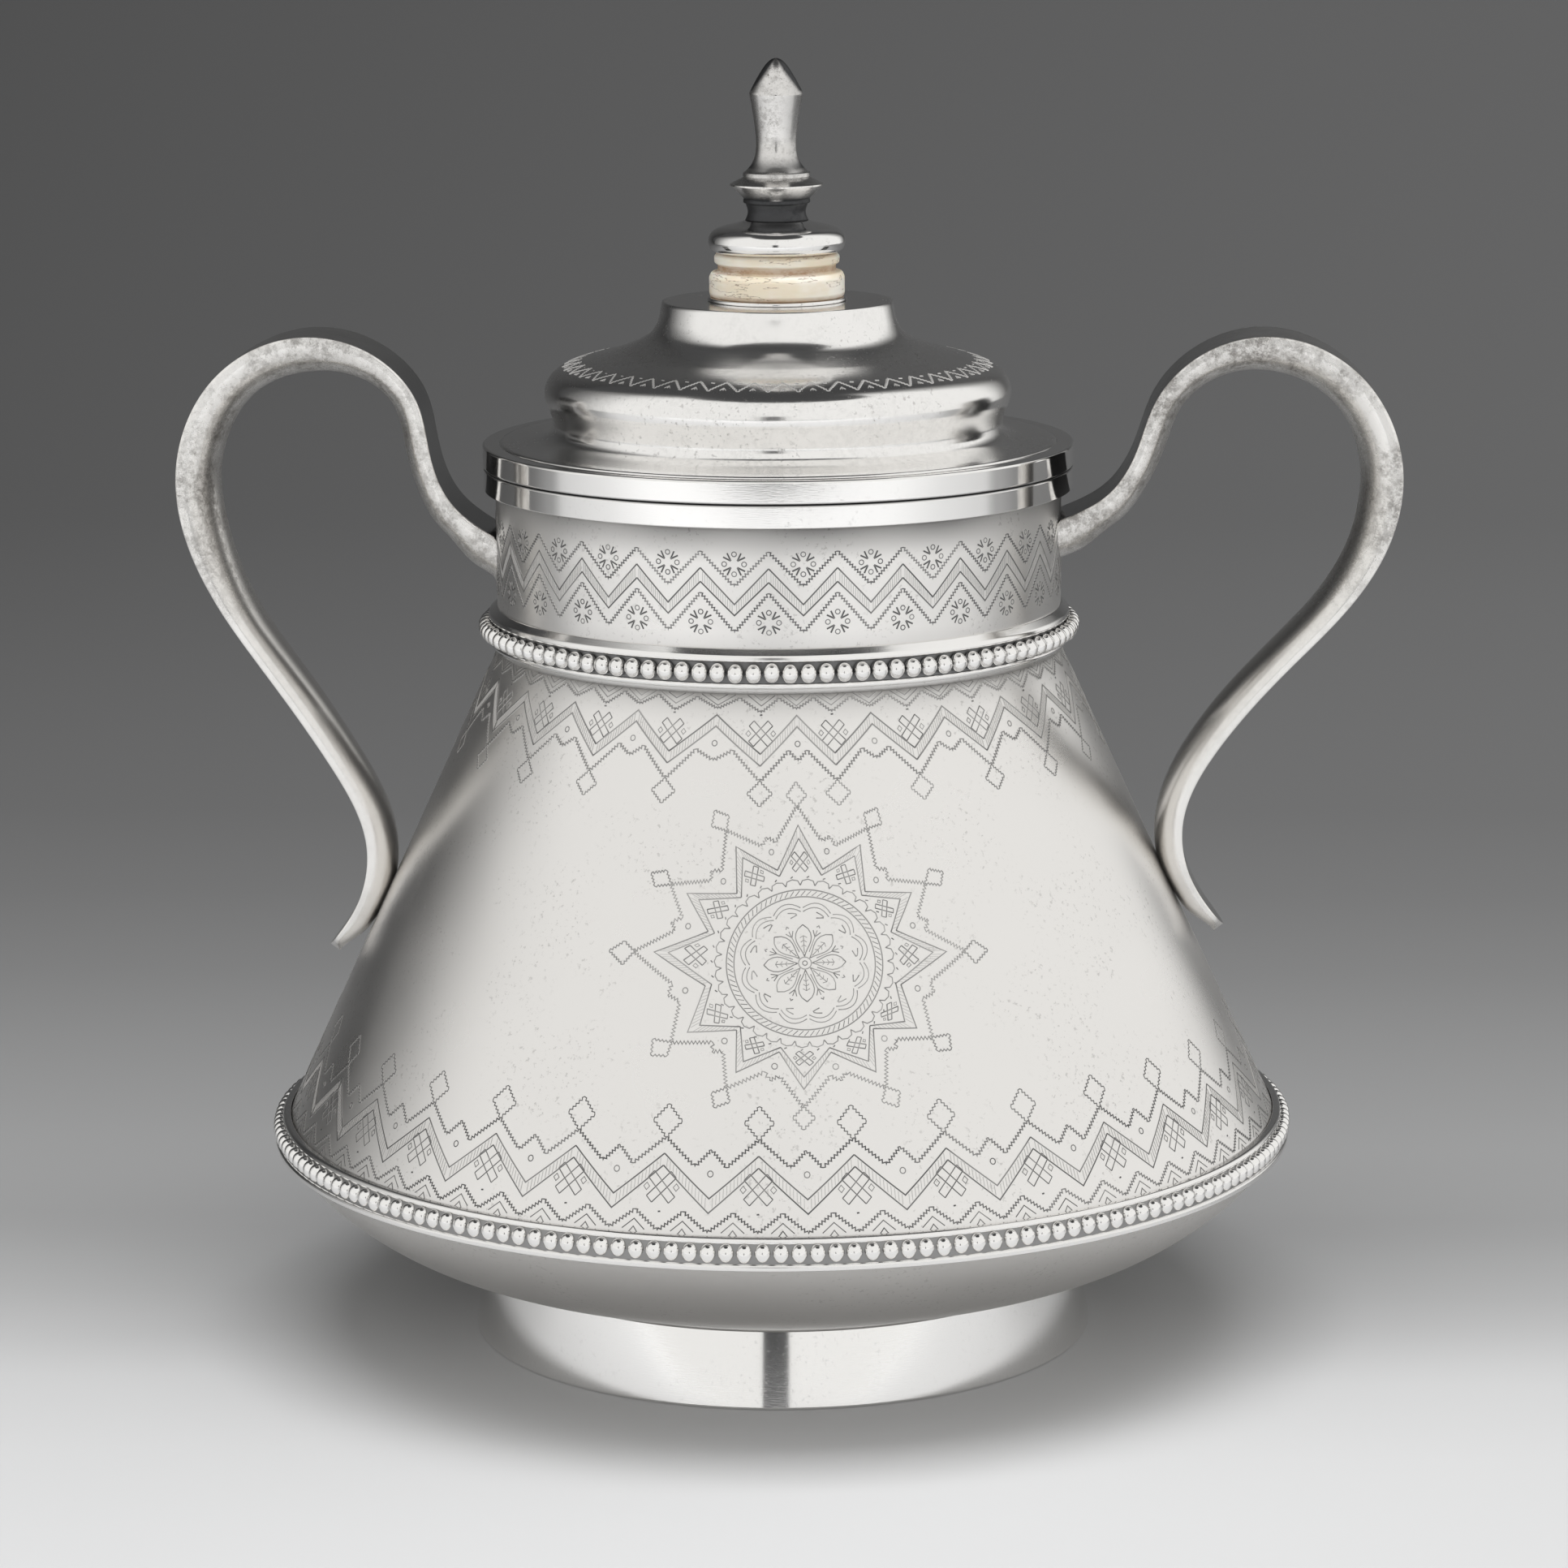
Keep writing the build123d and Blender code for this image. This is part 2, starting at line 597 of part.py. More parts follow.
# ---------------------------------------------------------------- write every piece
NODES = {
    "foot_ring": foot_ring(),
    "foot_collar": foot_collar(),
    "base_pan": base_pan(),
    "body_shell": body_shell(),
    "lower_bead_moulding": lower_bead_moulding(),
    "upper_bead_moulding": upper_bead_moulding(),
    "neck_collar": neck_collar(),
    "bowl_rim": bowl_rim(),
    "handle_left": mirror(handle(LEFT_LEAN, LEFT_LIFT), Plane.YZ),
    "handle_right": handle(RIGHT_LEAN, RIGHT_LIFT),
    "lid_dome": lid_dome(),
    "lid_rim_band": lid_rim_band(),
    "lid_bezel": lid_bezel(),
    "finial_plate": finial_plate(),
    "bone_insulator": bone_insulator(),
    "finial_bun": finial_bun(),
    "finial_knob": finial_knob(),
    "finial_stud": finial_stud(),
    "finial_washer": finial_washer(),
    "finial_nut": finial_nut(),
}

os.makedirs("parts", exist_ok=True)
for name, shape in NODES.items():
    solids = shape.solids()
    shape = solids[0] if len(solids) == 1 else Compound(solids)
    export_step(shape, f"parts/{name}.step")
    box = shape.bounding_box()
    print(f"{name:22s} {len(solids)} solid(s) {shape.volume:9.1f} mm3  z {box.min.Z:7.2f} to {box.max.Z:7.2f}")
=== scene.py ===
"""Covered silver sugar bowl: turned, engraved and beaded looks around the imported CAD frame.

Shapes are worked out in millimetres in the part's own frame (+Z up, engraved front towards -Y)
and scaled to metres when a mesh is made. Angles are measured about Z from the front towards +X.
"""

import math

import bpy
import numpy as np
from mathutils import Matrix, Vector


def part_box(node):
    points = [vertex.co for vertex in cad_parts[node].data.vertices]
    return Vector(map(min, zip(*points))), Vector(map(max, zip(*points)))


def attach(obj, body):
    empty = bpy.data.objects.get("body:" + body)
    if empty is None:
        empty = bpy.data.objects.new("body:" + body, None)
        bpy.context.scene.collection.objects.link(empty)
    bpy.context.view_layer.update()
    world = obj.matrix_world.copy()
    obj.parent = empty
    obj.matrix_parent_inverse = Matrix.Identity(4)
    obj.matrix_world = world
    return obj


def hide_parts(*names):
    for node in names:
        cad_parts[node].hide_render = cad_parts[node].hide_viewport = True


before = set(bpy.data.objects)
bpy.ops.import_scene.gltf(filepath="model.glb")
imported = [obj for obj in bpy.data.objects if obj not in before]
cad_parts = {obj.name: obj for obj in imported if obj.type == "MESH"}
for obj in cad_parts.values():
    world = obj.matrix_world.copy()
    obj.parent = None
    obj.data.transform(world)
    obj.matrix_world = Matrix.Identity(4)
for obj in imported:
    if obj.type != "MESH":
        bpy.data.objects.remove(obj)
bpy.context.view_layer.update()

MM = 0.001
TURN = 2 * math.pi
rng = np.random.default_rng(1881)


# ---------------------------------------------------------------- places, from the frame
def reach(node):
    """Outermost distance of a CAD node from the bowl's axis, in millimetres."""
    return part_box(node)[1].x / MM


def low(node):
    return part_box(node)[0].z / MM


def top(node):
    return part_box(node)[1].z / MM


WALL = 0.8
GAP = 0.02  # what a turned piece leaves free to its neighbours
SEAM_R, SEAM_Z = reach("body_shell"), low("body_shell")
NECK_R, NECK_LOW, NECK_TOP = reach("neck_collar"), low("neck_collar"), top("neck_collar")
RIM_R, RIM_TOP = reach("bowl_rim"), top("bowl_rim")
BAND_R, BAND_LOW, BAND_TOP = reach("lid_rim_band"), low("lid_rim_band"), top("lid_rim_band")
PLATEAU_Z = top("lid_dome")
FOOT_R, FOOT_TOP = reach("foot_ring"), top("foot_ring")
COLLAR_R, COLLAR_TOP = reach("foot_collar"), top("foot_collar")
COLLAR_BORE = 40.1
UPPER_BEADS_Z = 98.5
BAND_INNER = BAND_R - 2.3
NECK_SKIN = NECK_R - 0.06
CONE_INSET = 0.1  # the cone's skin lies this far inside its nominal radius
ROUND = 384  # divisions round the wide pieces
CONE_SLOPE = (SEAM_R - NECK_R) / (NECK_LOW - SEAM_Z)
CONE_TILT = math.atan(CONE_SLOPE)


def clamp(value):
    return np.clip(value, 0, 1)


# ---------------------------------------------------------------- outlines
def rounded(corners, radius=0.12, steps=3):
    """A closed outline with its corners rounded; a third value in a corner is its own radius.

    A point close to each end of an arc keeps the flats between corners flat when shaded.
    """
    beside = 0.03
    outline = []
    for i, corner in enumerate(corners):
        here = np.array(corner[:2], float)
        before = np.array(corners[i - 1][:2], float) - here
        after = np.array(corners[(i + 1) % len(corners)][:2], float) - here
        size_b, size_a = np.linalg.norm(before), np.linalg.norm(after)
        before, after = before / size_b, after / size_a
        half = math.acos(np.clip(before @ after, -1, 1)) / 2
        wanted = corner[2] if len(corner) > 2 else radius
        cut = min(wanted / math.tan(half), 0.45 * size_b, 0.45 * size_a) if half < 1.5 else 0
        if cut <= 0:
            outline.append(here)
            continue
        arc_r = cut * math.tan(half)
        centre = here + (before + after) / np.linalg.norm(before + after) * arc_r / math.sin(half)
        first, last = here + before * cut - centre, here + after * cut - centre
        start = math.atan2(first[1], first[0])
        sweep = (math.atan2(last[1], last[0]) - start + math.pi) % TURN - math.pi
        outline.append(here + before * min(cut + beside, 0.49 * size_b))
        for k in range(steps + 1):
            a = start + sweep * k / steps
            outline.append(centre + arc_r * np.array([math.cos(a), math.sin(a)]))
        outline.append(here + after * min(cut + beside, 0.49 * size_a))
    return np.array(outline)


def smooth(points, spacing=0.35):
    """A curve through points: each stretch is the cubic through its two ends and their neighbours."""
    p = np.array(points, float)
    p = np.vstack([2 * p[0] - p[1], p, 2 * p[-1] - p[-2]])
    curve = []
    for i in range(1, len(p) - 2):
        knots = np.cumsum([0] + [np.linalg.norm(p[i + k] - p[i + k - 1]) ** 0.5 for k in (0, 1, 2)])
        count = max(2, int(np.linalg.norm(p[i + 1] - p[i]) / spacing))
        for t in np.linspace(knots[1], knots[2], count, endpoint=False):
            q = [p[i - 1 + k] for k in range(4)]
            for level in (1, 2, 3):
                for k in range(4 - level):
                    a, b = knots[k], knots[k + level]
                    q[k] = q[k] * (b - t) / (b - a) + q[k + 1] * (t - a) / (b - a)
            curve.append(q[0])
    curve.append(p[-2])
    return np.array(curve)


def straight(a, b, spacing=1.0):
    count = max(1, int(math.dist(a, b) / spacing))
    return np.array(a) + (np.array(b) - np.array(a)) * np.linspace(0, 1, count + 1)[:, None]


def offset(line, distance):
    """An open outline moved to its right-hand side, without the points that would fold over."""
    along = np.gradient(line, axis=0)
    along /= np.linalg.norm(along, axis=1)[:, None]
    moved = line + distance * np.stack([along[:, 1], -along[:, 0]], 1)
    gap = np.linalg.norm(moved[:, None] - line[None], axis=2).min(1)
    return moved[gap > 0.97 * abs(distance)]


# ---------------------------------------------------------------- meshes
class Shape:
    """Vertices, faces and values for one mesh, in millimetres, gathered from several patches."""

    def __init__(self):
        self.points, self.faces, self.normals, self.cuts = [], [], [], []
        self.count = 0

    def add(self, points, faces, normals, cut=None):
        points = np.asarray(points, float).reshape(-1, 3)
        self.points.append(points)
        self.faces.extend((np.asarray(f) + self.count).tolist() for f in faces)
        self.normals.append(normals.reshape(-1, 3))
        self.cuts.append(np.zeros(len(points)) if cut is None else np.asarray(cut, float).ravel())
        self.count += len(points)

    def build(self, name, body, slot, material, replaces=()):
        """Make the object, put it on its body and give it its material."""
        mesh = bpy.data.meshes.new(name)
        points = np.concatenate(self.points) * MM
        mesh.from_pydata(points.tolist(), [], self.faces)
        mesh.polygons.foreach_set("use_smooth", [True] * len(mesh.polygons))
        mesh.normals_split_custom_set_from_vertices(np.concatenate(self.normals).tolist())
        cut = mesh.attributes.new("cut", "FLOAT", "POINT")
        cut.data.foreach_set("value", np.concatenate(self.cuts).astype(np.float32))
        mesh.materials.append(material)
        piece = bpy.data.objects.new(name, mesh)
        bpy.context.scene.collection.objects.link(piece)
        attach(piece, body)
        if replaces:
            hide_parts(*replaces)
        return piece


def on_axis(r, angle, z):
    return np.stack([r * np.sin(angle), -r * np.cos(angle), z + 0 * angle], -1)


def grid_faces(rows, columns, closed_rows=True):
    """Quads between rows of points; each row closes on itself, and the last row may meet the first."""
    count = rows if closed_rows else rows - 1
    i, j = np.meshgrid(np.arange(count), np.arange(columns), indexing="ij")
    i, j = i.ravel(), j.ravel()
    here, after, beside = i * columns, (i + 1) % rows * columns, (j + 1) % columns
    return np.stack([here + j, here + beside, after + beside, after + j], 1)


def across(points, axis):
    """The step from the point before to the point after, on a closed grid."""
    return np.roll(points, -1, axis) - np.roll(points, 1, axis)


def lathe(shape, outline, around=360, wobble=None):
    """Spin a closed outline about Z. wobble(angle, z) moves the skin in or out a little.

    Outline points on the axis become one vertex each, and the faces beside them triangles.
    """
    outline = np.asarray(outline, float)
    outline = outline[np.linalg.norm(outline - np.roll(outline, 1, 0), axis=1) > 1e-6]
    r, z = outline.T
    if (r * np.roll(z, -1) - np.roll(r, -1) * z).sum() < 0:
        r, z = outline[::-1].T
    rr, aa = np.meshgrid(r, np.arange(around) * TURN / around, indexing="ij")
    zz = np.repeat(z[:, None], around, 1)
    if wobble:
        rr = rr + wobble(aa, zz) * (rr > 0.5)
    points = on_axis(rr, aa, zz)
    normals = np.cross(across(points, 1), across(points, 0))
    pole = r < 1e-6
    upwards = np.where(np.roll(r, -1) > r, -1.0, 1.0)
    normals[pole] = upwards[pole, None, None] * np.array([0.0, 0.0, 1.0])
    normals /= np.linalg.norm(normals, axis=2)[..., None] + 1e-12
    index = np.arange(points.shape[0] * around).reshape(-1, around)
    index[pole] = index[pole][:, :1]
    faces = [list(dict.fromkeys(quad)) for quad in index.ravel()[grid_faces(len(r), around)].tolist()]
    faces = [face for face in faces if len(face) > 2]
    used = np.zeros(index.size, bool)
    used[np.unique(np.concatenate([np.ravel(f) for f in faces]))] = True
    new = np.cumsum(used) - 1
    faces = [[int(new[v]) for v in f] for f in faces]
    shape.add(points.reshape(-1, 3)[used], faces, normals.reshape(-1, 3)[used])
    return shape


def turned(name, outline, body, slot, material, replaces, around=360, wobble=None, dirt_and_shade=None):
    """A turned piece. The darkening function of angle, height and radius gives, from 0 to 1, its dirt and
    painted shade.
    """
    shape = lathe(Shape(), outline, around, wobble)
    if dirt_and_shade:
        x, y, z = shape.points[0].T
        shape.cuts = [dirt_and_shade(np.arctan2(x, -y), z, np.hypot(x, y))]
    return shape.build(name, body, slot, material, replaces)


def raised_by_hand(amount, seed):
    """The slight unevenness of sheet that was hammered and planished round a stake."""
    phase = np.random.default_rng(seed).uniform(0, TURN, 8)

    def wobble(angle, z):
        return amount * (
            0.5 * np.sin(2 * angle + phase[0])
            + 0.5 * np.sin(3 * angle + z / 13 + phase[1])
            + 0.3 * np.sin(7 * angle - z / 9 + phase[2])
            + 0.25 * np.sin(11 * angle + z / 6 + phase[3]) * np.sin(z / 8 + phase[4])
            + 0.12 * np.sin(23 * angle + z / 4 + phase[5])
        )

    return wobble


# ---------------------------------------------------------------- materials
class Nodes:
    """A new material, with short calls for wiring its node tree."""

    def __init__(self, name):
        self.material = bpy.data.materials.new(name)
        self.material.use_nodes = True
        self.tree = self.material.node_tree
        self.tree.nodes.clear()

    def add(self, kind, **values):
        node = self.tree.nodes.new(kind)
        for key, value in values.items():
            if key in node.inputs:
                self.feed(value, node.inputs[key])
            else:
                setattr(node, key, value)
        return node

    def feed(self, value, socket):
        if isinstance(value, bpy.types.NodeSocket):
            self.tree.links.new(value, socket)
        else:
            socket.default_value = value

    def place(self):
        return self.add("ShaderNodeTexCoord").outputs["Object"]

    def parts_of(self, vector):
        return self.add("ShaderNodeSeparateXYZ", Vector=vector).outputs

    def cut(self):
        """The value that a mesh carries for its grooves, corners or parts."""
        return self.add("ShaderNodeAttribute", attribute_name="cut").outputs["Fac"]

    def stretch(self, vector, scale):
        node = self.add("ShaderNodeMapping")
        self.feed(vector, node.inputs["Vector"])
        node.inputs["Scale"].default_value = scale
        return node.outputs["Vector"]

    def noise(self, vector, scale, detail=4.0, roughness=0.5):
        fractal = {"Scale": scale, "Detail": detail, "Roughness": roughness}
        return self.add("ShaderNodeTexNoise", Vector=vector, **fractal).outputs["Fac"]

    def ramp(self, value, low, high, low_out=0.0, high_out=1.0, kind="SMOOTHSTEP"):
        node = self.add("ShaderNodeMapRange", interpolation_type=kind, Value=value)
        ends = {"From Min": low, "From Max": high, "To Min": low_out, "To Max": high_out}
        for key, number in ends.items():
            self.feed(number, node.inputs[key])
        return node.outputs["Result"]

    def linear(self, value, low, high, low_out=0.0, high_out=1.0):
        return self.ramp(value, low, high, low_out, high_out, "LINEAR")

    def maths(self, operation, a, b=0.0):
        node = self.add("ShaderNodeMath", operation=operation, use_clamp=False)
        self.feed(a, node.inputs[0])
        self.feed(b, node.inputs[1])
        return node.outputs["Value"]

    def plus(self, a, b):
        return self.maths("ADD", a, b)

    def minus(self, a, b):
        return self.maths("SUBTRACT", a, b)

    def times(self, a, b):
        return self.maths("MULTIPLY", a, b)

    def mix(self, share, a, b):
        node = self.add("ShaderNodeMix", data_type="RGBA")
        for socket, value in ((0, share), (6, a), (7, b)):
            self.feed(value, node.inputs[socket])
        return node.outputs[2]

    def bump(self, height, strength, distance, below=None):
        node = self.add("ShaderNodeBump", Height=height, Strength=strength, Distance=distance)
        if below is not None:
            self.feed(below, node.inputs["Normal"])
        return node.outputs["Normal"]

    def finish(self, shader, output):
        out = self.add("ShaderNodeOutputMaterial")
        self.tree.links.new(shader.outputs[output], out.inputs["Surface"])
        return self.material

    def surface(self, colour, roughness, normal=None, metallic=1.0, **constants):
        """Close the tree with a Principled shader and return the material."""
        shader = self.add("ShaderNodeBsdfPrincipled", Roughness=roughness, Metallic=metallic)
        self.feed(colour, shader.inputs["Base Color"])
        for key, value in constants.items():
            shader.inputs[key.replace("_", " ")].default_value = value
        if normal is not None:
            self.feed(normal, shader.inputs["Normal"])
        return self.finish(shader, "BSDF")


SILVER = (0.87, 0.855, 0.835, 1)
BRIGHT = (0.93, 0.92, 0.905, 1)
WHITE = (0.97, 0.96, 0.95, 1)
DULL = (0.64, 0.625, 0.605, 1)
TARNISH = (0.31, 0.295, 0.28, 1)
# near-black: sulphide tarnish, and also painted shade and painted dark reflections wherever the value
# "cut" is high
OXIDE_AND_SHADE = (0.032, 0.034, 0.038, 1)
PATINA = (0.42, 0.38, 0.33, 1)
WORN_CAST = (0.92, 0.905, 0.88, 1)
SHADED_FACE = (0.25, 0.25, 0.25, 1)
BONE_CREAM, BONE_PALE = (0.85, 0.76, 0.60, 1), (0.93, 0.89, 0.80, 1)
BONE_CRACK, BONE_STAIN = (0.16, 0.08, 0.04, 1), (0.38, 0.22, 0.11, 1)


def mottling(n, where, amount):
    """Share of clouded tarnish, stronger on the upper half of the bowl."""
    height = n.parts_of(where)["Z"]
    clouds = n.ramp(n.noise(where, 130.0, 8.0, 0.75), 0.40, 0.60)
    grains = n.ramp(n.noise(where, 1100.0, 6.0, 0.8), 0.44, 0.60)
    return n.times(n.times(clouds, grains), n.ramp(height, 0.075, 0.115, 0.45 * amount, amount))


def speckling(n, where, amount):
    """Share of small brown specks, which come in patches."""
    dots = n.ramp(n.noise(where, 1500.0, 3.0, 0.7), 0.58, 0.68)
    areas = n.ramp(n.noise(where, 85.0, 3.0, 0.5), 0.42, 0.60)
    return n.times(n.times(dots, areas), amount)


def silver(name, roughness, spread=0.05, tint=SILVER, specks=0.0, mottle=0.0, scratch=0.15, crevice=0.0):
    """Silver with handling marks: uneven polish, brown specks, tarnished mottling and fine scratches.

    Where the mesh's own value "cut" is high (oxide and dirt in grooves and corners, painted shade and
    painted dark reflections) it darkens by crevice.
    """
    n = Nodes(name)
    where = n.place()
    colour = tint
    rough = n.ramp(n.noise(where, 45.0, 3.0), 0.3, 0.7, roughness - spread, roughness + spread)
    for kind, amount, duller in ((mottling, mottle, 0.2), (speckling, specks, 0.3)):
        if amount:
            share = kind(n, where, amount)
            colour = n.mix(share, colour, TARNISH)
            rough = n.plus(rough, n.times(share, duller))
    # oxide and painted shade where the value "cut" is high
    if crevice:
        depth = n.cut()
        colour = n.mix(n.times(depth, crevice), colour, OXIDE_AND_SHADE)
        rough = n.plus(rough, n.times(depth, 0.3))
    normal = n.bump(n.noise(n.stretch(where, (1, 1, 9)), 700.0, 2.0), scratch, 0.00003)
    normal = n.bump(n.noise(where, 900.0, 5.0, 0.6), scratch, 0.00002, normal)
    return n.surface(colour, rough, normal)


def cast_silver():
    """Handles: mirror-like flat outer face, satin flanks with soft grey tarnish over the upper loop.

    The mesh's value "cut" is 1 on the outer face (2 where it's blackened), 0 on the flanks and -1 on
    the rounded inner side.
    """
    n = Nodes("silver_cast_handles")
    where = n.place()
    part = n.cut()
    outer, inner = n.linear(part, 0.0, 1.0), n.linear(part, 0.0, -1.0)
    height = n.parts_of(where)["Z"]
    clouds = n.ramp(n.noise(where, 95.0, 8.0, 0.75), 0.38, 0.60)
    grains = n.ramp(n.noise(where, 1000.0, 8.0, 0.9), 0.43, 0.56)
    tarnish = n.times(clouds, n.linear(grains, 0.0, 1.0, 0.22, 1.0))
    tarnish = n.times(tarnish, n.ramp(height, 0.094, 0.118, 0.12, 1.0))
    tarnish = n.times(tarnish, n.linear(outer, 0.0, 1.0, 1.0, 0.35))
    colour = n.mix(tarnish, WORN_CAST, TARNISH)
    colour = n.mix(n.times(inner, 0.12), colour, PATINA)
    colour = n.mix(n.times(outer, 0.15), colour, SHADED_FACE)
    colour = n.mix(n.linear(part, 1.0, 2.0, 0.0, 0.85), colour, OXIDE_AND_SHADE)
    rough = n.plus(n.linear(outer, 0.0, 1.0, 0.24, 0.12), n.times(tarnish, 0.2))
    lines = n.noise(n.stretch(where, (1, 9, 1)), 500.0, 2.0)
    return n.surface(colour, rough, n.bump(lines, 0.15, 0.00003))


def bone():
    """Old turned bone: cream, with a few brown grain cracks and a stained groove."""
    n = Nodes("bone_cream")
    where = n.place()
    cloud = n.noise(n.stretch(where, (1, 1, 2.5)), 150.0, 3.0)
    colour = n.mix(n.ramp(cloud, 0.35, 0.65), BONE_CREAM, BONE_PALE)
    grain = n.noise(n.stretch(where, (0.55, 0.55, 3.2)), 230.0, 5.0, 0.6)
    from_crack = n.maths("ABSOLUTE", n.minus(grain, 0.56))
    cracks = n.minus(1.0, n.ramp(from_crack, 0.0, 0.014))
    colour = n.mix(n.times(cracks, 0.75), colour, BONE_CRACK)
    stain = n.ramp(n.noise(n.stretch(where, (1, 1, 2)), 320.0, 5.0, 0.7), 0.35, 0.65, 0.6, 1.0)
    colour = n.mix(n.times(n.cut(), stain), colour, BONE_STAIN)
    normal = n.bump(n.minus(grain, n.times(cracks, 0.5)), 0.2, 0.0001)
    return n.surface(colour, 0.34, normal, 0.0, Subsurface_Weight=0.12, Subsurface_Scale=0.0015)


SATIN = silver("silver_satin_body", 0.30, 0.03, specks=0.35, scratch=0.12, crevice=0.8)
PAN_SATIN = silver("silver_satin_pan", 0.36, 0.03, DULL, specks=0.3, scratch=0.12)
POLISHED = silver("silver_polished_turned", 0.12, 0.03, BRIGHT, specks=0.35, scratch=0.05)
LID = silver("silver_polished_lid", 0.16, 0.03, BRIGHT, specks=0.45, mottle=0.1, scratch=0.1)
MIRROR = silver("silver_bright_bands", 0.07, 0.02, BRIGHT, specks=0.12, scratch=0.03, crevice=1.0)
KNOB = silver("silver_knob", 0.15, 0.04, specks=0.9, mottle=0.6, scratch=0.25, crevice=0.95)
CAST = cast_silver()
BEADED = silver("silver_bead_moulding", 0.15, 0.03, BRIGHT, crevice=0.97)
ENGRAVED = silver("silver_engraved_cuts", 0.28, 0.02, crevice=1.0, scratch=0.05)
LID_CUTS = silver("silver_engraved_lid", 0.6, 0.03, WHITE, scratch=0.05)
INSIDE = silver("silver_inside_fittings", 0.35, 0.05, mottle=0.4)
BONE = bone()


# ---------------------------------------------------------------- skins that carry engraving
neck_wobble = raised_by_hand(0.03, 2)
body_wobble = raised_by_hand(0.07, 3)
lid_wobble = raised_by_hand(0.03, 4)

# the lid's outer side, from the plateau's edge over the cavetto and the waist to the flange
LID_SIDE = smooth(
    [
        (15.55, 142.42), (15.75, 141.6), (16.15, 139.75), (17.15, 138.2), (18.8, 137.1),
        (22.1, 135.75), (25.8, 134.75), (28.9, 133.75), (30.6, 132.65), (31.48, 131.0),
        (31.55, 129.8), (31.2, 128.6), (30.7, 127.4), (30.42, 126.3), (30.6, 125.3),
        (31.5, 124.5), (33.3, 124.05), (36.0, 123.85), (39.0, 123.62),
    ],
    0.3,
)
CAVETTO = LID_SIDE[: int(np.argmax(LID_SIDE[:, 0] > 31.0))]


def cone_r(z):
    return SEAM_R - CONE_SLOPE * (z - SEAM_Z)


def on_neck(angle, z):
    """Places on a skin and the directions that point straight out of it there."""
    return on_axis(NECK_SKIN + neck_wobble(angle, z), angle, z), on_axis(1.0 + 0 * z, angle, 0 * z)


def on_cone(angle, z):
    r = cone_r(z) - CONE_INSET + body_wobble(angle, z)
    lean = math.sin(CONE_TILT) + 0 * z
    return on_axis(r, angle, z), on_axis(math.cos(CONE_TILT) + 0 * z, angle, lean)


def on_lid(angle, r):
    """On the cavetto a place is given by its distance from the axis instead of its height."""
    z = np.interp(r, CAVETTO[:, 0], CAVETTO[:, 1])
    slope = np.interp(r, CAVETTO[:, 0], np.gradient(CAVETTO[:, 1], CAVETTO[:, 0]))
    size = np.sqrt(1 + slope**2)
    out = 0.01 + lid_wobble(angle, z)
    place = on_axis(r - slope / size * out, angle, z + out / size)
    return place, on_axis(-slope / size, angle, 1 / size)


# ---------------------------------------------------------------- turned pieces of the bowl
def build_foot():
    b = FOOT_R
    corners = [
        (b - 0.02, 0.02, 0.3), (COLLAR_R - 0.65, FOOT_TOP, 0.05), (COLLAR_BORE, FOOT_TOP, 0.05),
        (b - 2.3, 1.2, 0.6), (b - 2.2, 0.02, 0.3),
    ]
    shape = lathe(Shape(), rounded(corners), ROUND, raised_by_hand(0.015, 5))
    shape.build("foot_ring_turned", "bowl", "silver_polished", MIRROR, ["foot_ring"])


def build_collar():
    corners = [
        (COLLAR_R, FOOT_TOP, 0.35), (COLLAR_R, COLLAR_TOP, 0.5),
        (COLLAR_BORE, COLLAR_TOP, 0.05), (COLLAR_BORE, FOOT_TOP, 0.05),
    ]
    turned("foot_collar_turned", rounded(corners), "bowl", "silver_satin", PAN_SATIN, ["foot_collar"])


def build_pan():
    """The bellied underside, curved from the collar out to the seam, with a flat floor inside."""
    start, end = np.array([41.35, COLLAR_TOP + GAP]), np.array([SEAM_R - 0.05, SEAM_Z - GAP])
    belly = 3.5
    chord = end - start
    out = np.array([chord[1], -chord[0]]) / np.linalg.norm(chord)
    share = np.linspace(0, 1, 40)
    outer = start + chord * share[:, None] + out * (belly * 4 * share * (1 - share))[:, None]
    inner = offset(outer, -WALL)[::-1]
    inner[0] = (outer[-1][0] - 0.9, SEAM_Z - GAP)
    under, floor = COLLAR_TOP + 0.05, COLLAR_TOP + WALL
    below = [(0.0, floor), (0.0, under), (2.0, under), (41.0, under)]
    above = [(inner[-1][0] - 0.4, floor), (20.0, floor)]
    outline = np.vstack([below, outer, inner[:-1], above])
    wobble = raised_by_hand(0.03, 6)
    turned("base_pan_raised", outline, "bowl", "silver_satin", PAN_SATIN, ["base_pan"], 360, wobble)


def build_cone():
    outer = straight((SEAM_R - CONE_INSET, SEAM_Z + GAP), (NECK_R - CONE_INSET, NECK_LOW - GAP), 1.2)
    inner = straight((NECK_R - 0.8, NECK_LOW - GAP), (SEAM_R - 0.88, SEAM_Z + GAP), 3.0)
    outline = np.vstack([outer, inner])

    # painted shade beside the beadings above and below, with the tarnish kept there
    def dirt_and_shade(angle, z, r):
        return 0.45 * clamp((z - 90.5) / 5) ** 2 + 0.4 * clamp((32.5 - z) / 3) ** 2

    piece = "body_raised", outline, "bowl", "silver_satin", SATIN, ["body_shell"]
    turned(*piece, ROUND, body_wobble, dirt_and_shade)


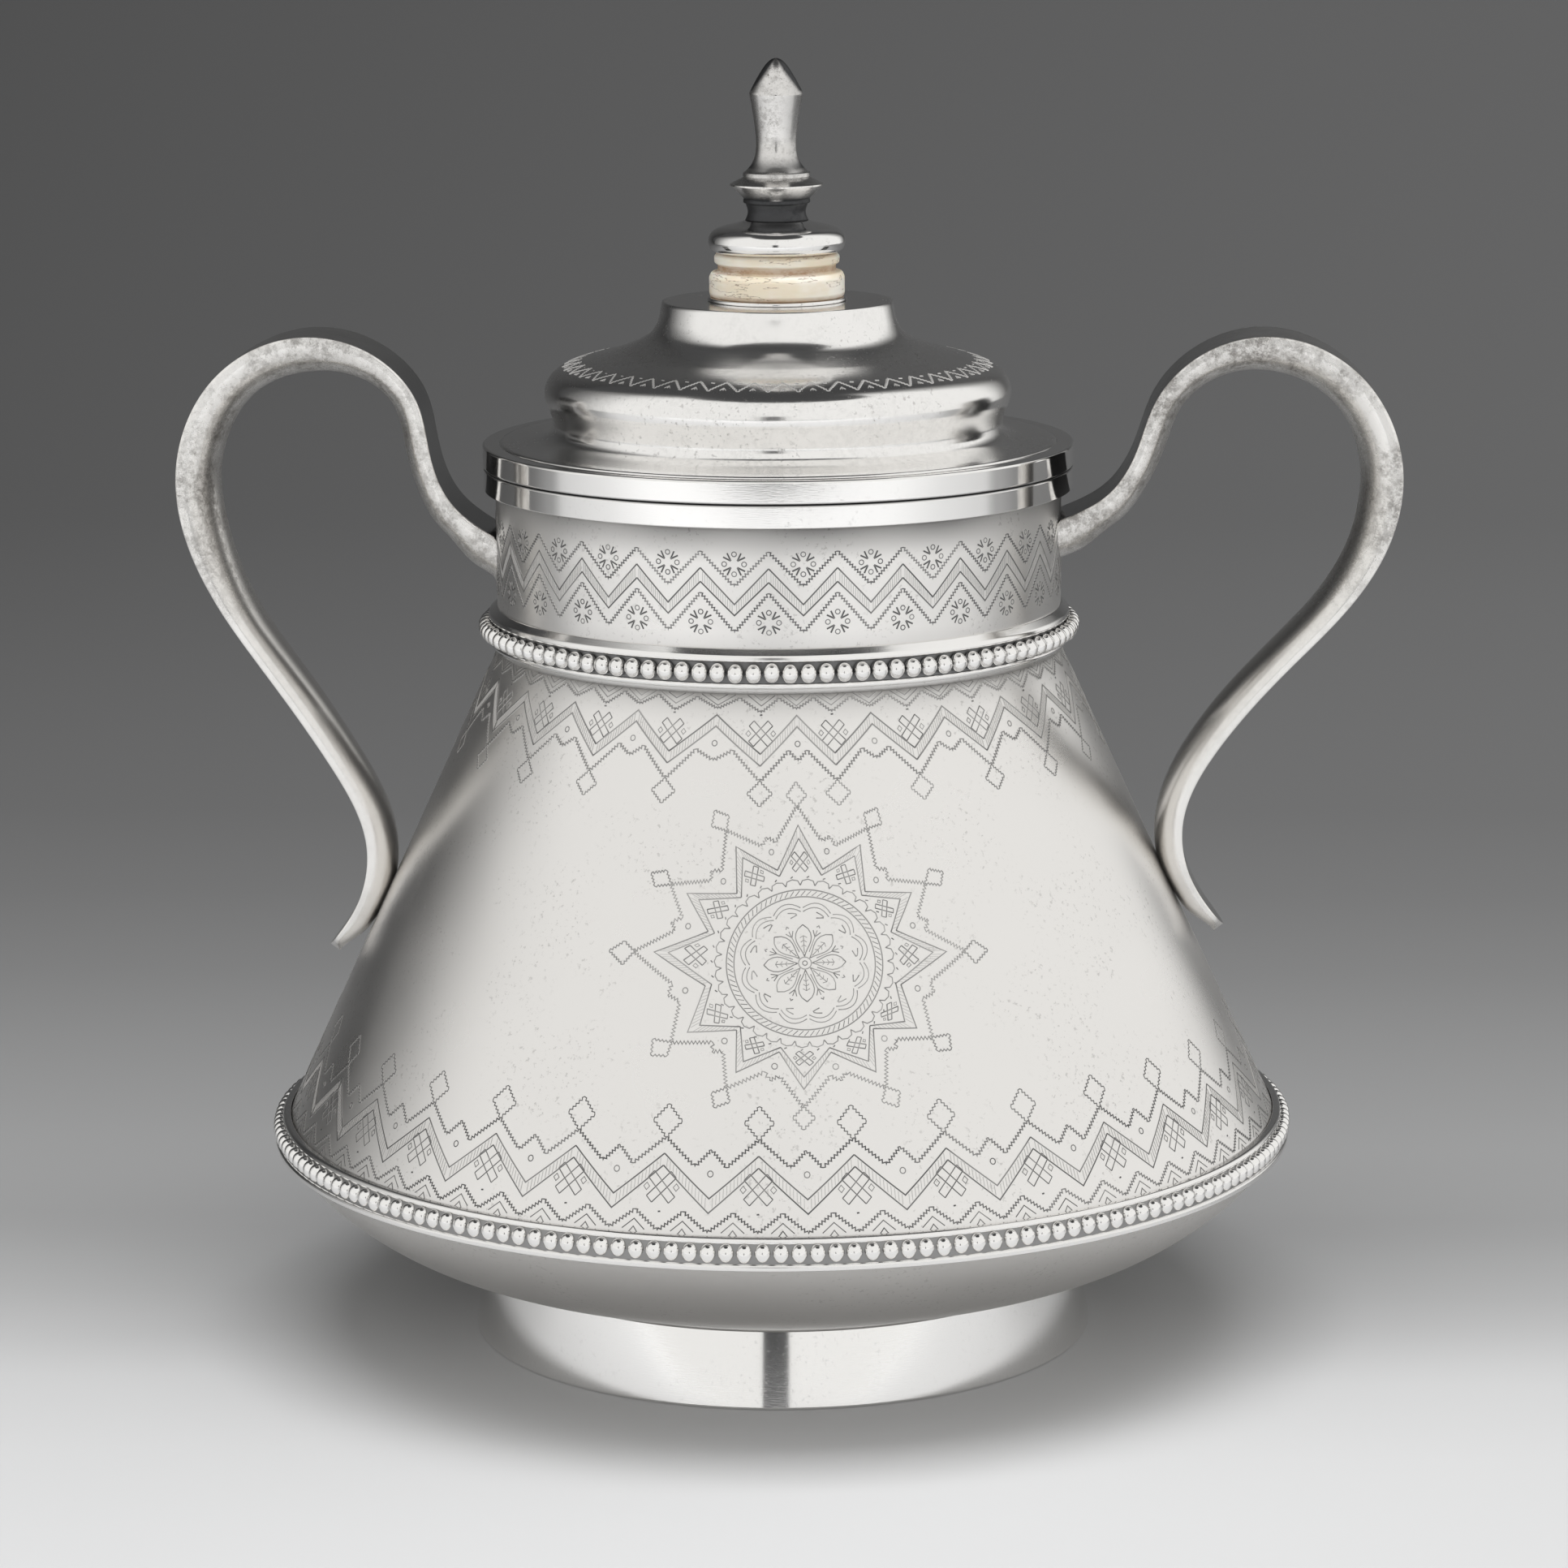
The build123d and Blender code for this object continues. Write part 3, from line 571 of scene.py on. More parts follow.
def build_neck():
    outer = straight((NECK_SKIN, NECK_LOW + GAP), (NECK_SKIN, NECK_TOP - GAP), 0.8)
    inner = straight((NECK_R - 0.75, NECK_TOP - GAP), (NECK_R - 0.75, NECK_LOW + GAP), 3.0)
    outline = np.vstack([outer, inner])

    # darker towards the top, unevenly round: dirt and painted shade under the rim; a little darker at the
    # bottom: painted shade beside the beading
    def dirt_and_shade(angle, z, r):
        drift = 0.5 + 0.5 * np.sin(5 * angle + 1) * np.sin(8 * angle)
        return (0.62 + 0.25 * drift) * clamp((z - 112.8) / 4) + 0.25 * clamp((103.5 - z) / 4)

    piece = "neck_turned", outline, "bowl", "silver_satin", SATIN, ["neck_collar"]
    turned(*piece, ROUND, neck_wobble, dirt_and_shade)


def seam_shadow(angle, z, r):
    """Painted shadow at the mouth of the thin joint between the rim and the lid's band."""
    at_joint = clamp(1.25 - np.abs(z - (RIM_TOP + BAND_LOW) / 2) / 0.24)
    return at_joint * clamp((r - RIM_R + 0.36) / 0.2)


def build_rim():
    bore = NECK_R - WALL
    corners = [(RIM_R, NECK_TOP, 0.12), (RIM_R, RIM_TOP, 0.3), (bore, RIM_TOP, 0.2), (bore, NECK_TOP, 0.1)]
    piece = "bowl_rim_turned", rounded(corners), "bowl", "silver_polished", MIRROR, ["bowl_rim"]
    turned(*piece, ROUND, None, seam_shadow)


def unit_bead(rings=9, around=14):
    """Points and faces of a ball of radius 1, with its axis along Z."""
    polar = np.linspace(0, math.pi, rings + 2)[1:-1]
    turn = np.arange(around) * TURN / around
    ball = []
    for p in polar:
        ball += [(math.sin(p) * math.cos(a), math.sin(p) * math.sin(a), math.cos(p)) for a in turn]
    faces = [quad[::-1] for quad in grid_faces(rings, around, False).tolist()]
    top_point = rings * around
    faces += [[top_point, k, (k + 1) % around] for k in range(around)]
    lowest = top_point - around
    faces += [[top_point + 1, lowest + (k + 1) % around, lowest + k] for k in range(around)]
    return np.vstack([np.array(ball), (0, 0, 1), (0, 0, -1)]), faces


def bead_ring(shape, count, centre_r, z, size, phase):
    """Separate beads, each a little flattened against the strip, like a stamped wire."""
    wide, deep, tall = size
    ball, faces = unit_bead()
    # darker on the back and on the flanks where neighbours meet: oxide and painted shade between the beads
    sunk = clamp((0.02 - ball[:, 0]) / 0.45)
    flank = clamp((np.abs(ball[:, 1]) - 0.92) / 0.08)
    up = np.array([0, 0, 1.0])
    jitter = np.random.default_rng(count)
    for i in range(count):
        angle = TURN * i / count + phase
        out = np.array([math.sin(angle), -math.cos(angle), 0])
        side = np.array([math.cos(angle), math.sin(angle), 0])
        scale = 1 - 0.03 * jitter.random(3)
        centre = out * centre_r + up * (z + 0.03 * jitter.standard_normal())
        axes = np.stack([out * deep * scale[0], side * wide * scale[1], up * tall * scale[2]])
        normals = ball @ np.stack([out / deep, side / wide, up / tall])
        normals /= np.linalg.norm(normals, axis=1)[:, None]
        shape.add(centre + ball @ axes, faces, normals, np.maximum(sunk, flank))


def strip(shape, corners, radius, dark):
    """A turned strip behind the beads, with its darkness given once for the whole strip."""
    before = len(shape.cuts)
    lathe(shape, rounded(corners, radius), 360)
    shape.cuts[before:] = [np.full(len(c), dark) for c in shape.cuts[before:]]


def build_upper_moulding():
    """Beads on a bed darkened with oxide and painted shade, between a thin bright fillet below and a wider
    one above.
    """
    n, z = NECK_R, UPPER_BEADS_Z
    shape = Shape()
    bead_ring(shape, 106, n + 1.35, z, (1.15, 1.22, 1.28), 0.02)
    bed = [(n - 0.35, z - 2.0), (n + 0.9, z - 1.9), (n + 0.75, z + 1.8), (n - 0.35, z + 3.0)]
    fillet = [(n - 0.3, z - 2.2), (n + 1.1, z - 2.2, 0.4), (n + 1.1, z - 1.35, 0.4), (n - 0.3, z - 1.35)]
    crown = [
        (n - 0.3, z + 1.35), (n + 1.2, z + 1.3, 0.4), (n + 1.05, z + 2.15, 0.4),
        (n + 0.1, z + 3.05, 0.4), (n - 0.3, z + 3.05),
    ]
    strip(shape, bed, 0.2, 0.85)
    strip(shape, fillet, 0.1, 0.0)
    strip(shape, crown, 0.1, 0.0)
    shape.build("upper_beading", "bowl", "silver_oxidised", BEADED, ["upper_bead_moulding"])


def build_lower_moulding():
    """The same at the seam, with smaller beads set closer together."""
    r, z = SEAM_R - 0.2, SEAM_Z + 1.7
    shape = Shape()
    bead_ring(shape, 188, r - 0.05, z + 0.05, (1.13, 1.14, 1.25), 0.008)
    bed = [
        (r - 1.6, z - 1.65), (r + 0.45, z - 1.9), (r + 0.3, z),
        (r - 0.55, z + 1.55), (r - 1.3, z + 1.55),
    ]
    crown = [(r - 1.2, z + 1.05), (r - 0.1, z + 1.1, 0.4), (r - 0.45, z + 1.95, 0.4), (r - 1.4, z + 1.95)]
    fillet = [(r - 0.6, z - 2.1), (r + 0.8, z - 2.1, 0.25), (r + 0.8, z - 1.2, 0.35), (r - 0.6, z - 1.1)]
    # the bed is darkened with oxide and painted shade
    strip(shape, bed, 0.2, 0.7)
    strip(shape, crown, 0.1, 0.0)
    strip(shape, fillet, 0.1, 0.05)
    shape.build("lower_beading", "bowl", "silver_oxidised", BEADED, ["lower_bead_moulding"])


# ---------------------------------------------------------------- lid and finial
def build_lid():
    """The lid's raised sheet, with a flat top under the finial's plate."""
    inner = offset(LID_SIDE, WALL)[::-1]
    inner = inner[inner[:, 0] > 14.6]
    ceiling = 141.7
    outline = np.vstack(
        [
            [(0, PLATEAU_Z - GAP), (15.2, PLATEAU_Z - GAP)],
            LID_SIDE[LID_SIDE[:, 0] < BAND_INNER],
            [(BAND_INNER, 123.5), (BAND_INNER, 122.8)],
            inner[inner[:, 0] < BAND_INNER],
            [(14.4, ceiling), (0, ceiling)],
        ]
    )
    turned("lid_raised", outline, "lid", "silver_polished", LID, ["lid_dome"], ROUND, lid_wobble)


def build_lid_band():
    corners = [
        (BAND_INNER, BAND_LOW, 0.1), (BAND_R, BAND_LOW, 0.3),
        (BAND_R, BAND_TOP, 0.3), (BAND_INNER, BAND_TOP, 0.05),
    ]
    piece = "lid_band_turned", rounded(corners), "lid", "silver_polished", MIRROR, ["lid_rim_band"]
    turned(*piece, ROUND, None, seam_shadow)


def build_plate():
    r, z = reach("finial_plate"), top("finial_plate")
    outline = rounded([(0, PLATEAU_Z, 0), (r, PLATEAU_Z, 0.15), (r, z, 0.22), (0, z, 0)], 0.1)
    piece = "finial_plate_turned", outline, "lid", "silver_polished", POLISHED, ["finial_plate"]
    turned(*piece, 192)


def build_bone():
    """Two bone discs with a groove between them, their edges worn round."""
    r, z, high = reach("bone_insulator"), low("bone_insulator"), top("bone_insulator")
    groove_r = 7.95
    corners = [
        (0, z, 0), (r - 0.15, z, 0.3), (r, z + 0.6, 0.8), (r, z + 2.7, 0.9), (r - 0.35, z + 3.4, 0.5),
        (groove_r, z + 3.5, 0.25), (groove_r, z + 4.35, 0.25), (8.4, z + 4.6, 0.3),
        (8.45, z + 5.4, 0.5), (8.0, high, 0.3), (0, high, 0),
    ]
    outline = rounded(corners, 0.2, 5)

    # stain colour in the groove and towards the top and bottom edges
    def dirt_and_shade(angle, height, radius):
        in_groove = clamp(1.4 - np.abs(height - (z + 3.95)) / 0.5)
        at_top = 0.8 * clamp(1 - (high - height) / 0.35)
        at_bottom = clamp(1 - (height - z) / 0.75)
        return clamp(in_groove + at_top + at_bottom) * (radius > 7)

    piece = "bone_insulator_turned", outline, "lid", "bone", BONE, ["bone_insulator"]
    turned(*piece, 240, raised_by_hand(0.04, 9), dirt_and_shade)


def build_bun():
    r, z = reach("finial_bun"), low("finial_bun")
    top_z = z + 4.28
    side = smooth(
        [
            (8.35, z + 0.02), (8.95, z + 0.45), (r - 0.05, z + 1.35), (r - 0.25, z + 2.3), (8.35, z + 3.0),
            (7.2, z + 3.45), (5.9, z + 3.75), (4.75, z + 4.05), (4.3, top_z),
        ],
        0.2,
    )
    outline = np.vstack([[(0, z)], side, [(0, top_z)]])
    turned("finial_bun_turned", outline, "lid", "silver_polished", POLISHED, ["finial_bun"], 240)


def knob_outline(z):
    """Necked foot, sharp collar with a ring each side, waisted shaft and pointed head."""
    neck = smooth([(4.25, z), (3.98, z + 0.6), (3.9, z + 1.1), (3.98, z + 1.6), (4.2, z + 2.2)], 0.2)
    shaft = smooth(
        [
            (4.15, z + 6.55), (3.45, z + 7.3), (2.98, z + 8.3), (2.74, z + 9.6),
            (2.78, z + 11.2), (2.98, z + 13.0), (3.28, z + 15.0), (3.58, z + 16.7),
        ],
        0.3,
    )
    head = smooth(
        [
            (3.6, z + 16.95), (2.95, z + 18.2), (2.15, z + 19.6),
            (1.3, z + 20.8), (0.6, z + 21.4), (0.0, z + 21.58),
        ],
        0.2,
    )
    rings = [
        (4.5, z + 2.3, 0.1), (4.5, z + 2.75, 0.1), (4.4, z + 2.9, 0.05), (6.27, z + 4.62, 0.08),
        (6.25, z + 4.85, 0.08), (4.45, z + 5.72, 0.05), (4.58, z + 5.85, 0.1), (4.5, z + 6.4, 0.12),
        (0, z + 6.4, 0), (0, z + 2.3, 0),
    ]
    return np.vstack([[(0, z)], neck, rounded(rings, 0.1)[:-2], shaft, head])


def build_knob():
    z = low("finial_knob")

    def dirt_and_shade(angle, height, r):
        """Painted shade and dark reflections: near-black over the foot and collar, grey at the shaft's
        foot and down the sides of shaft and head, lifted for painted highlights on the collar's front and
        edge.
        """
        h = height - z
        # glint: a painted highlight down the front of the collar, where the darkening is lifted
        glint = 1 - 0.75 * np.exp(-(((angle - 0.03) / 0.16) ** 2)) * (h > 2.8)
        low_parts = 0.97 * clamp((5.9 - h) / 0.8) * (h < 5.9) * glint
        foot_of_shaft = 0.5 * np.exp(-(((h - 7.2) / 0.9) ** 2))
        sides = 0.12 + 0.4 * (h > 7) * np.abs(np.sin(angle)) ** 3
        bearing = np.arcsin(np.abs(np.sin(angle)))
        head_sides = 0.8 * (h > 17.2) * clamp((bearing - 1.1 * (21.6 - h) / 4.6) / 0.4)
        # a painted highlight on the collar's edge: no darkening from here out
        collar_edge = 6.1  # bright from here out
        return clamp(low_parts + foot_of_shaft + sides + head_sides) * (r < collar_edge)

    piece = "finial_knob_turned", knob_outline(z), "lid", "silver_polished", KNOB, ["finial_knob"]
    turned(*piece, 240, None, dirt_and_shade)


def finish_inner_fittings():
    """Bezel, stud, washer and nut keep their CAD shape and get their finish."""
    for node in ("lid_bezel", "finial_stud", "finial_washer", "finial_nut"):
        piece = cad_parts[node]
        piece.data.materials.clear()
        piece.data.materials.append(INSIDE)


# ---------------------------------------------------------------- handles
def cubic(points, samples):
    """A natural cubic spline through points, spaced by chord length and sampled evenly."""
    p = np.array(points, float)
    knots = np.concatenate([[0], np.cumsum(np.linalg.norm(np.diff(p, axis=0), axis=1))])
    h = np.diff(knots)
    n = len(p)
    a = np.eye(n)
    b = np.zeros_like(p)
    for i in range(1, n - 1):
        a[i, i - 1 : i + 2] = h[i - 1], 2 * (h[i - 1] + h[i]), h[i]
        b[i] = 6 * ((p[i + 1] - p[i]) / h[i] - (p[i] - p[i - 1]) / h[i - 1])
    m = np.linalg.solve(a, b)
    fine = np.linspace(0, knots[-1], 2000)
    i = np.clip(np.searchsorted(knots, fine, "right") - 1, 0, n - 2)
    u, w, step = (fine - knots[i])[:, None], (knots[i + 1] - fine)[:, None], h[i][:, None]
    curve = m[i] * w**3 / (6 * step) + m[i + 1] * u**3 / (6 * step)
    curve += (p[i] / step - m[i] * step / 6) * w + (p[i + 1] / step - m[i + 1] * step / 6) * u
    run = np.concatenate([[0], np.cumsum(np.linalg.norm(np.diff(curve, axis=0), axis=1))])
    even = np.linspace(0, run[-1], samples)
    return np.stack([np.interp(even, run, curve[:, k]) for k in (0, 1)], 1)


BAR_HALF_WIDTH = 6.35
SOLDER_Z = SEAM_Z + 35.7


def strap_path(lean, lift, inset):
    """Outer face of a handle from root to tip, in the plane through the axis."""
    rest = cone_r(SOLDER_Z) + 3.8 - inset
    stations = [
        # radius, height, share of the lean, share of the lift
        (NECK_R - 0.2, 112.3, 0, 0.7), (44.2, 116.2, 0.25, 0.4), (47.5, 122.4, 0.6, 0.15),
        (49.5, 129.2, 0.9, 0), (54.0, 134.7, 1, 0), (64.0, 138.25, 1, 0), (76.9, 132.9, 1, 0),
        (82.8, 118.5, 1, 0), (79.9, 106.8, 0.85, 0.2), (69.5, 92.3, 0.4, 0.6), (60.4, 80.1, 0.1, 0.95),
        (rest - 0.6, 69.5, 0, 1), (rest + 0.9, 61.3, 0, 1), (rest + 5.2, 54.9, 0, 1),
    ]
    points = []
    for r, z, lean_share, lift_share in stations:
        rise = lift * lift_share
        slope = CONE_SLOPE if z < NECK_LOW else 0
        points.append((r + lean * lean_share - rise * slope, z + rise))
    return cubic(points, 170)


def strap_thickness(share):
    places = [0.0, 0.04, 0.08, 0.15, 0.30, 0.50, 0.66, 0.91, 0.96, 1.0]
    sizes = [5.6, 4.35, 3.8, 3.8, 5.35, 5.35, 3.8, 3.8, 3.1, 1.7]
    i = np.clip(np.searchsorted(places, share, "right") - 1, 0, len(places) - 2)
    run = (share - places[i]) / (places[i + 1] - places[i])
    return sizes[i] + (sizes[i + 1] - sizes[i]) * run * run * (3 - 2 * run)


def strap_half_width(share, z, lift):
    """Full width over the loop, then a long taper down to a leaf's rounded tip."""
    if share < 0.4:
        return BAR_HALF_WIDTH
    width = np.interp(z, [51.9 + lift, 63.5 + lift, 99.75], [1.7, 4.6, BAR_HALF_WIDTH])
    near_tip = max(0.0, (share - 0.985) / 0.015)
    return width * math.sqrt(max(0.03, 1 - 0.97 * near_tip**2))


def strap_section(half, thick):
    """D-shaped: a flat outer face with a crisp broken edge, short flanks and a half-round inside.

    The points run round one side from the outer face to the crown of the inner side, back along
    the other, and end with three on the outer face.
    """
    edge = min(0.22, 0.3 * half)
    upright = 0.25 * thick
    corner = [(-half + edge, 0.0), (-half + 0.4 * edge, 0.14 * edge), (-half, edge)]
    flank = [(-half, edge + (upright - edge) * t) for t in (0.15, 0.5, 0.85)]
    inner = []
    for k in range(9):
        a = math.radians(84) * k / 8
        inner.append((-half * math.cos(a), upright + (thick - upright) * math.sin(a)))
    side = corner + flank + inner
    near_edge = max(half - edge - 0.35, 0.7 * (half - edge))
    face = [(near_edge * t, 0.0) for t in (1, 0, -1)]
    mirrored = [(-y, d) for y, d in side[::-1]]
    return np.array(side + mirrored + face)


def strap_rows(path, share, side, lift, seed):
    """The section's points at every place along the path, slightly uneven as filed by hand."""
    along = np.gradient(path, axis=0)
    along /= np.linalg.norm(along, axis=1)[:, None]
    phase = np.random.default_rng(seed).uniform(0, TURN, 3)
    rows = []
    for here, point, way in zip(share, path, along):
        inward = np.array([way[1], -way[0]])
        uneven = 0.04 * (math.sin(here * 19 + phase[0]) + math.sin(here * 41 + phase[1]))
        half = strap_half_width(here, point[1], lift) - 0.05 + uneven * 0.5 * (here < 0.95)
        section = strap_section(half, strap_thickness(here) - 0.06 + uneven * (here < 0.95))
        flat = point + inward * (section[:, 1:] + 0.03)
        rows.append(np.stack([side * flat[:, 0], section[:, 0], flat[:, 1]], 1))
    return np.array(rows)


def strap_parts(share, count):
    """1 on the outer face, rising to 2 near the root where no cloth reaches; -1 on the inner side."""
    part = np.zeros((len(share), count))
    part[:, 7:-10] = -1.0
    part[:, -3:] = 1.0
    part[:, -3:] += clamp((0.27 - share) / 0.12)[:, None]
    return part


def build_handle(name, side, lean, lift, inset, node):
    """Sweep the strap's section along its path; the root and tip are closed with flat caps."""
    path = strap_path(lean, lift, inset)
    back = (path[0] - path[1]) / np.linalg.norm(path[0] - path[1])
    path = np.vstack([path[0] + back * 5.5, path[0] + back * 2.5, path])
    share = np.concatenate([[0, 0], np.linspace(0, 1, len(path) - 2)])
    rows = strap_rows(path, share, side, lift, len(name))
    hidden = NECK_R - 0.45  # the root is cut off here, within the neck's wall
    sunk = np.hypot(rows[..., 0], rows[..., 1]) < hidden
    rows[..., 0] = np.where(sunk, side * np.sqrt(hidden**2 - rows[..., 1] ** 2), rows[..., 0])
    count = rows.shape[1]
    root, tip = list(range(count)), list(range((len(rows) - 1) * count, len(rows) * count))
    faces = grid_faces(len(rows), count, False)
    caps = [root[::-1], tip]
    if side < 0:
        faces, caps = faces[:, ::-1], [root, tip[::-1]]
    normals = np.cross(across(rows, 1), np.gradient(rows, axis=0)) * side
    normals /= np.linalg.norm(normals, axis=2)[..., None] + 1e-12
    shape = Shape()
    shape.add(rows, faces, normals, strap_parts(share, count))
    shape.faces += caps
    shape.build(name, "bowl", "silver_cast", CAST, [node])


# ---------------------------------------------------------------- engraving
MIDDLE_R = 50.0  # about half-way up the bowl; it only sets how finely a straight cut is divided


def between(a, b, share):
    return a[0] + (b[0] - a[0]) * share, a[1] + (b[1] - a[1]) * share


class Cuts:
    """Engraved strokes laid on a skin: each is a shallow groove with a raised burr on both sides."""

    SECTION = [
        # place in half widths, height above the skin, tilt of the surface, darkness (oxide and painted
        # shade in the groove)
        (-1.0, -0.05, -1.3, 0.0), (-0.55, 0.045, -0.25, 0.65), (0.0, 0.014, 0.0, 1.0),
        (0.55, 0.045, 0.25, 0.65), (1.0, -0.05, 1.3, 0.0),
    ]

    def __init__(self, skin, depth=1.0):
        self.skin, self.shape, self.depth = skin, Shape(), depth

    def stroke(self, path, half_width=0.15, closed=False, depth=1.0):
        """path: (angle, height) pairs in radians and millimetres."""
        path = np.asarray(path, float)
        if closed:
            path = np.vstack([path, path[:1]])
        points, normals = self.skin(path[:, 0], path[:, 1])
        if closed:
            along = across(points[:-1], 0)
            along = np.vstack([along, along[:1]])
            before = points[:-1] - np.roll(points[:-1], 1, 0)
            before = np.vstack([before, before[:1]])
        else:
            along = np.gradient(points, axis=0)
            before = np.vstack([points[1:2] - points[:1], np.diff(points, axis=0)])
        along /= np.linalg.norm(along, axis=1)[:, None] + 1e-12
        before /= np.linalg.norm(before, axis=1)[:, None] + 1e-12
        side = np.cross(normals, along)
        square = np.cross(normals, before)
        mitre = 1 / np.clip((side * square).sum(1), 0.62, 1)
        side *= (mitre * half_width)[:, None]
        place, lift, tilt, dark = np.array(self.SECTION)[..., None].transpose(1, 0, 2)
        place, lift, tilt = place[..., None], lift[..., None], tilt[..., None]
        skin_points = points + place * side + lift * normals
        shading = normals + tilt * side / half_width
        shading /= np.linalg.norm(shading, axis=2)[..., None]
        pressure = np.full(len(path), self.depth * depth * rng.uniform(0.75, 1.0))
        if not closed:
            # the darker ends are painted shade for that deeper bite
            pressure[[0, -1]] *= 1.3  # the graver bites deeper where a cut starts and ends
        dark = dark * np.minimum(pressure, 1)
        faces = grid_faces(5, len(path), False).reshape(4, len(path), 4)[:, :-1].reshape(-1, 4)
        self.shape.add(skin_points, faces, shading, dark)

    def line(self, *corners, half_width=0.15, longest=1.5, closed=False):
        """Straight cuts between corners, with points added so that they follow the skin."""
        corners = list(corners) + (list(corners[:1]) if closed else [])
        path = [corners[0]]
        for a, b in zip(corners, corners[1:]):
            size = math.hypot((b[0] - a[0]) * MIDDLE_R, b[1] - a[1])
            steps = max(1, math.ceil(size / longest))
            for k in range(1, steps + 1):
                path.append((a[0] + (b[0] - a[0]) * k / steps, a[1] + (b[1] - a[1]) * k / steps))
        self.stroke(path[:-1] if closed else path, half_width, closed)

    def wriggle(self, *corners, radius=MIDDLE_R, pitch=0.5, swing=0.17, half_width=0.13):
        """A line rocked from side to side as it is cut, which leaves small teeth."""
        path = []
        for a, b in zip(corners, corners[1:]):
            du, dv = (b[0] - a[0]) * radius, b[1] - a[1]
            size = math.hypot(du, dv)
            steps = max(2, round(size / pitch) * 2)
            aside = (-dv / size, du / size)
            for k in range(steps):
                t, way = k / steps, swing * (1 if k % 2 else -1) * (k > 0)
                angle = a[0] + (b[0] - a[0]) * t + aside[0] * way / radius
                path.append((angle, a[1] + dv * t + aside[1] * way))
        path.append(corners[-1])
        self.stroke(path, half_width)

    def ladder(self, a, b, c, d, pitch=0.5, half_width=0.06):
        """Cross hatching between two edges a-b and c-d."""
        size = math.hypot((b[0] - a[0]) * MIDDLE_R, b[1] - a[1])
        count = max(2, round(size / pitch))
        gap = 0.14
        for k in range(1, count):
            start, end = between(a, b, k / count), between(c, d, k / count)
            self.stroke([between(start, end, gap), between(start, end, 1 - gap)], half_width, depth=0.4)

    def ring(self, angle, z, size, radius, half_width=0.1, steps=10):
        turns = np.arange(steps) * TURN / steps
        path = np.stack([angle + size * np.cos(turns) / radius, z + size * np.sin(turns)], 1)
        self.stroke(path, half_width, True)

    def dot(self, angle, z, radius, half_width=0.16):
        self.stroke([(angle - 0.16 / radius, z - 0.02), (angle + 0.16 / radius, z + 0.02)], half_width)

    def local(self, angle, z, radius):
        """A frame for small motifs: millimetres to the right and up of a place."""
        return lambda x, y: (angle + x / radius, z + y)

    def woven_cross(self, at, s):
        """Two crossed bars on the diagonals, with a small lozenge each side of them."""
        w = 0.24 * s
        for side in (-1, 1):
            for o in (-w, w):
                lower = at((-0.95 * s + o) * side, -0.95 * s - o)
                upper = at((0.95 * s + o) * side, 0.95 * s - o)
                self.line(lower, upper, half_width=0.11)
            for end in (-1, 1):
                tip = 0.95 * s * end
                self.line(at((tip - w) * side, tip + w), at((tip + w) * side, tip - w), half_width=0.09)
        for x in (1.25, -1.25):
            flanks = at((x - 0.25) * s, 0), at((x + 0.25) * s, 0)
            tips = at(x * s, 0.28 * s), at(x * s, -0.28 * s)
            self.line(flanks[0], tips[0], flanks[1], tips[1], half_width=0.07, closed=True)

    def lozenge(self, at, half_w, half_h):
        corners = [at(0, half_h), at(half_w, 0), at(0, -half_h), at(-half_w, 0), at(0, half_h)]
        self.wriggle(*corners, swing=0.12, half_width=0.1)

    def flower(self, at):
        """Four round petals and four pairs of short cuts between them."""
        for k in range(4):
            a = k * TURN / 4
            cx, cy = 1.3 * math.sin(a), 1.3 * math.cos(a)
            turns = [TURN * j / 9 for j in range(9)]
            self.stroke([at(cx + 0.32 * math.cos(t), cy + 0.32 * math.sin(t)) for t in turns], 0.1, True)
            b = a + TURN / 8
            for bend in (-0.22, 0.22):
                tip = (1.7 * math.sin(b + bend), 1.7 * math.cos(b + bend))
                self.line(at(0.6 * math.sin(b), 0.6 * math.cos(b)), at(*tip), half_width=0.17)

    def build(self, name, body, slot, material):
        self.shape.build(name, body, slot, material)


def neck_band():
    """A hatched zigzag between two toothed ones, with a flower in every angle."""
    cuts = Cuts(on_neck)
    repeats, phase = 27, math.radians(0.6)
    step = TURN / repeats
    r = NECK_R
    for k in range(repeats):
        a = phase + k * step
        b, c = a + step / 2, a + step
        cuts.wriggle((a, 114.1), (b, 109.6), (c, 114.1), radius=r)
        cuts.line((a, 111.95), (b, 107.25), (c, 111.95))
        cuts.line((a, 110.15), (b, 105.8), (c, 110.15))
        cuts.ladder((a, 111.95), (b, 107.25), (a, 110.15), (b, 105.8))
        cuts.ladder((b, 107.25), (c, 111.95), (b, 105.8), (c, 110.15))
        cuts.wriggle((a, 108.7), (b, 103.6), (c, 108.7), radius=r)
        cuts.flower(cuts.local(b, 112.5, r))
        cuts.flower(cuts.local(a, 104.9, r))
    cuts.build("neck_engraving", "bowl", "silver_satin", ENGRAVED)


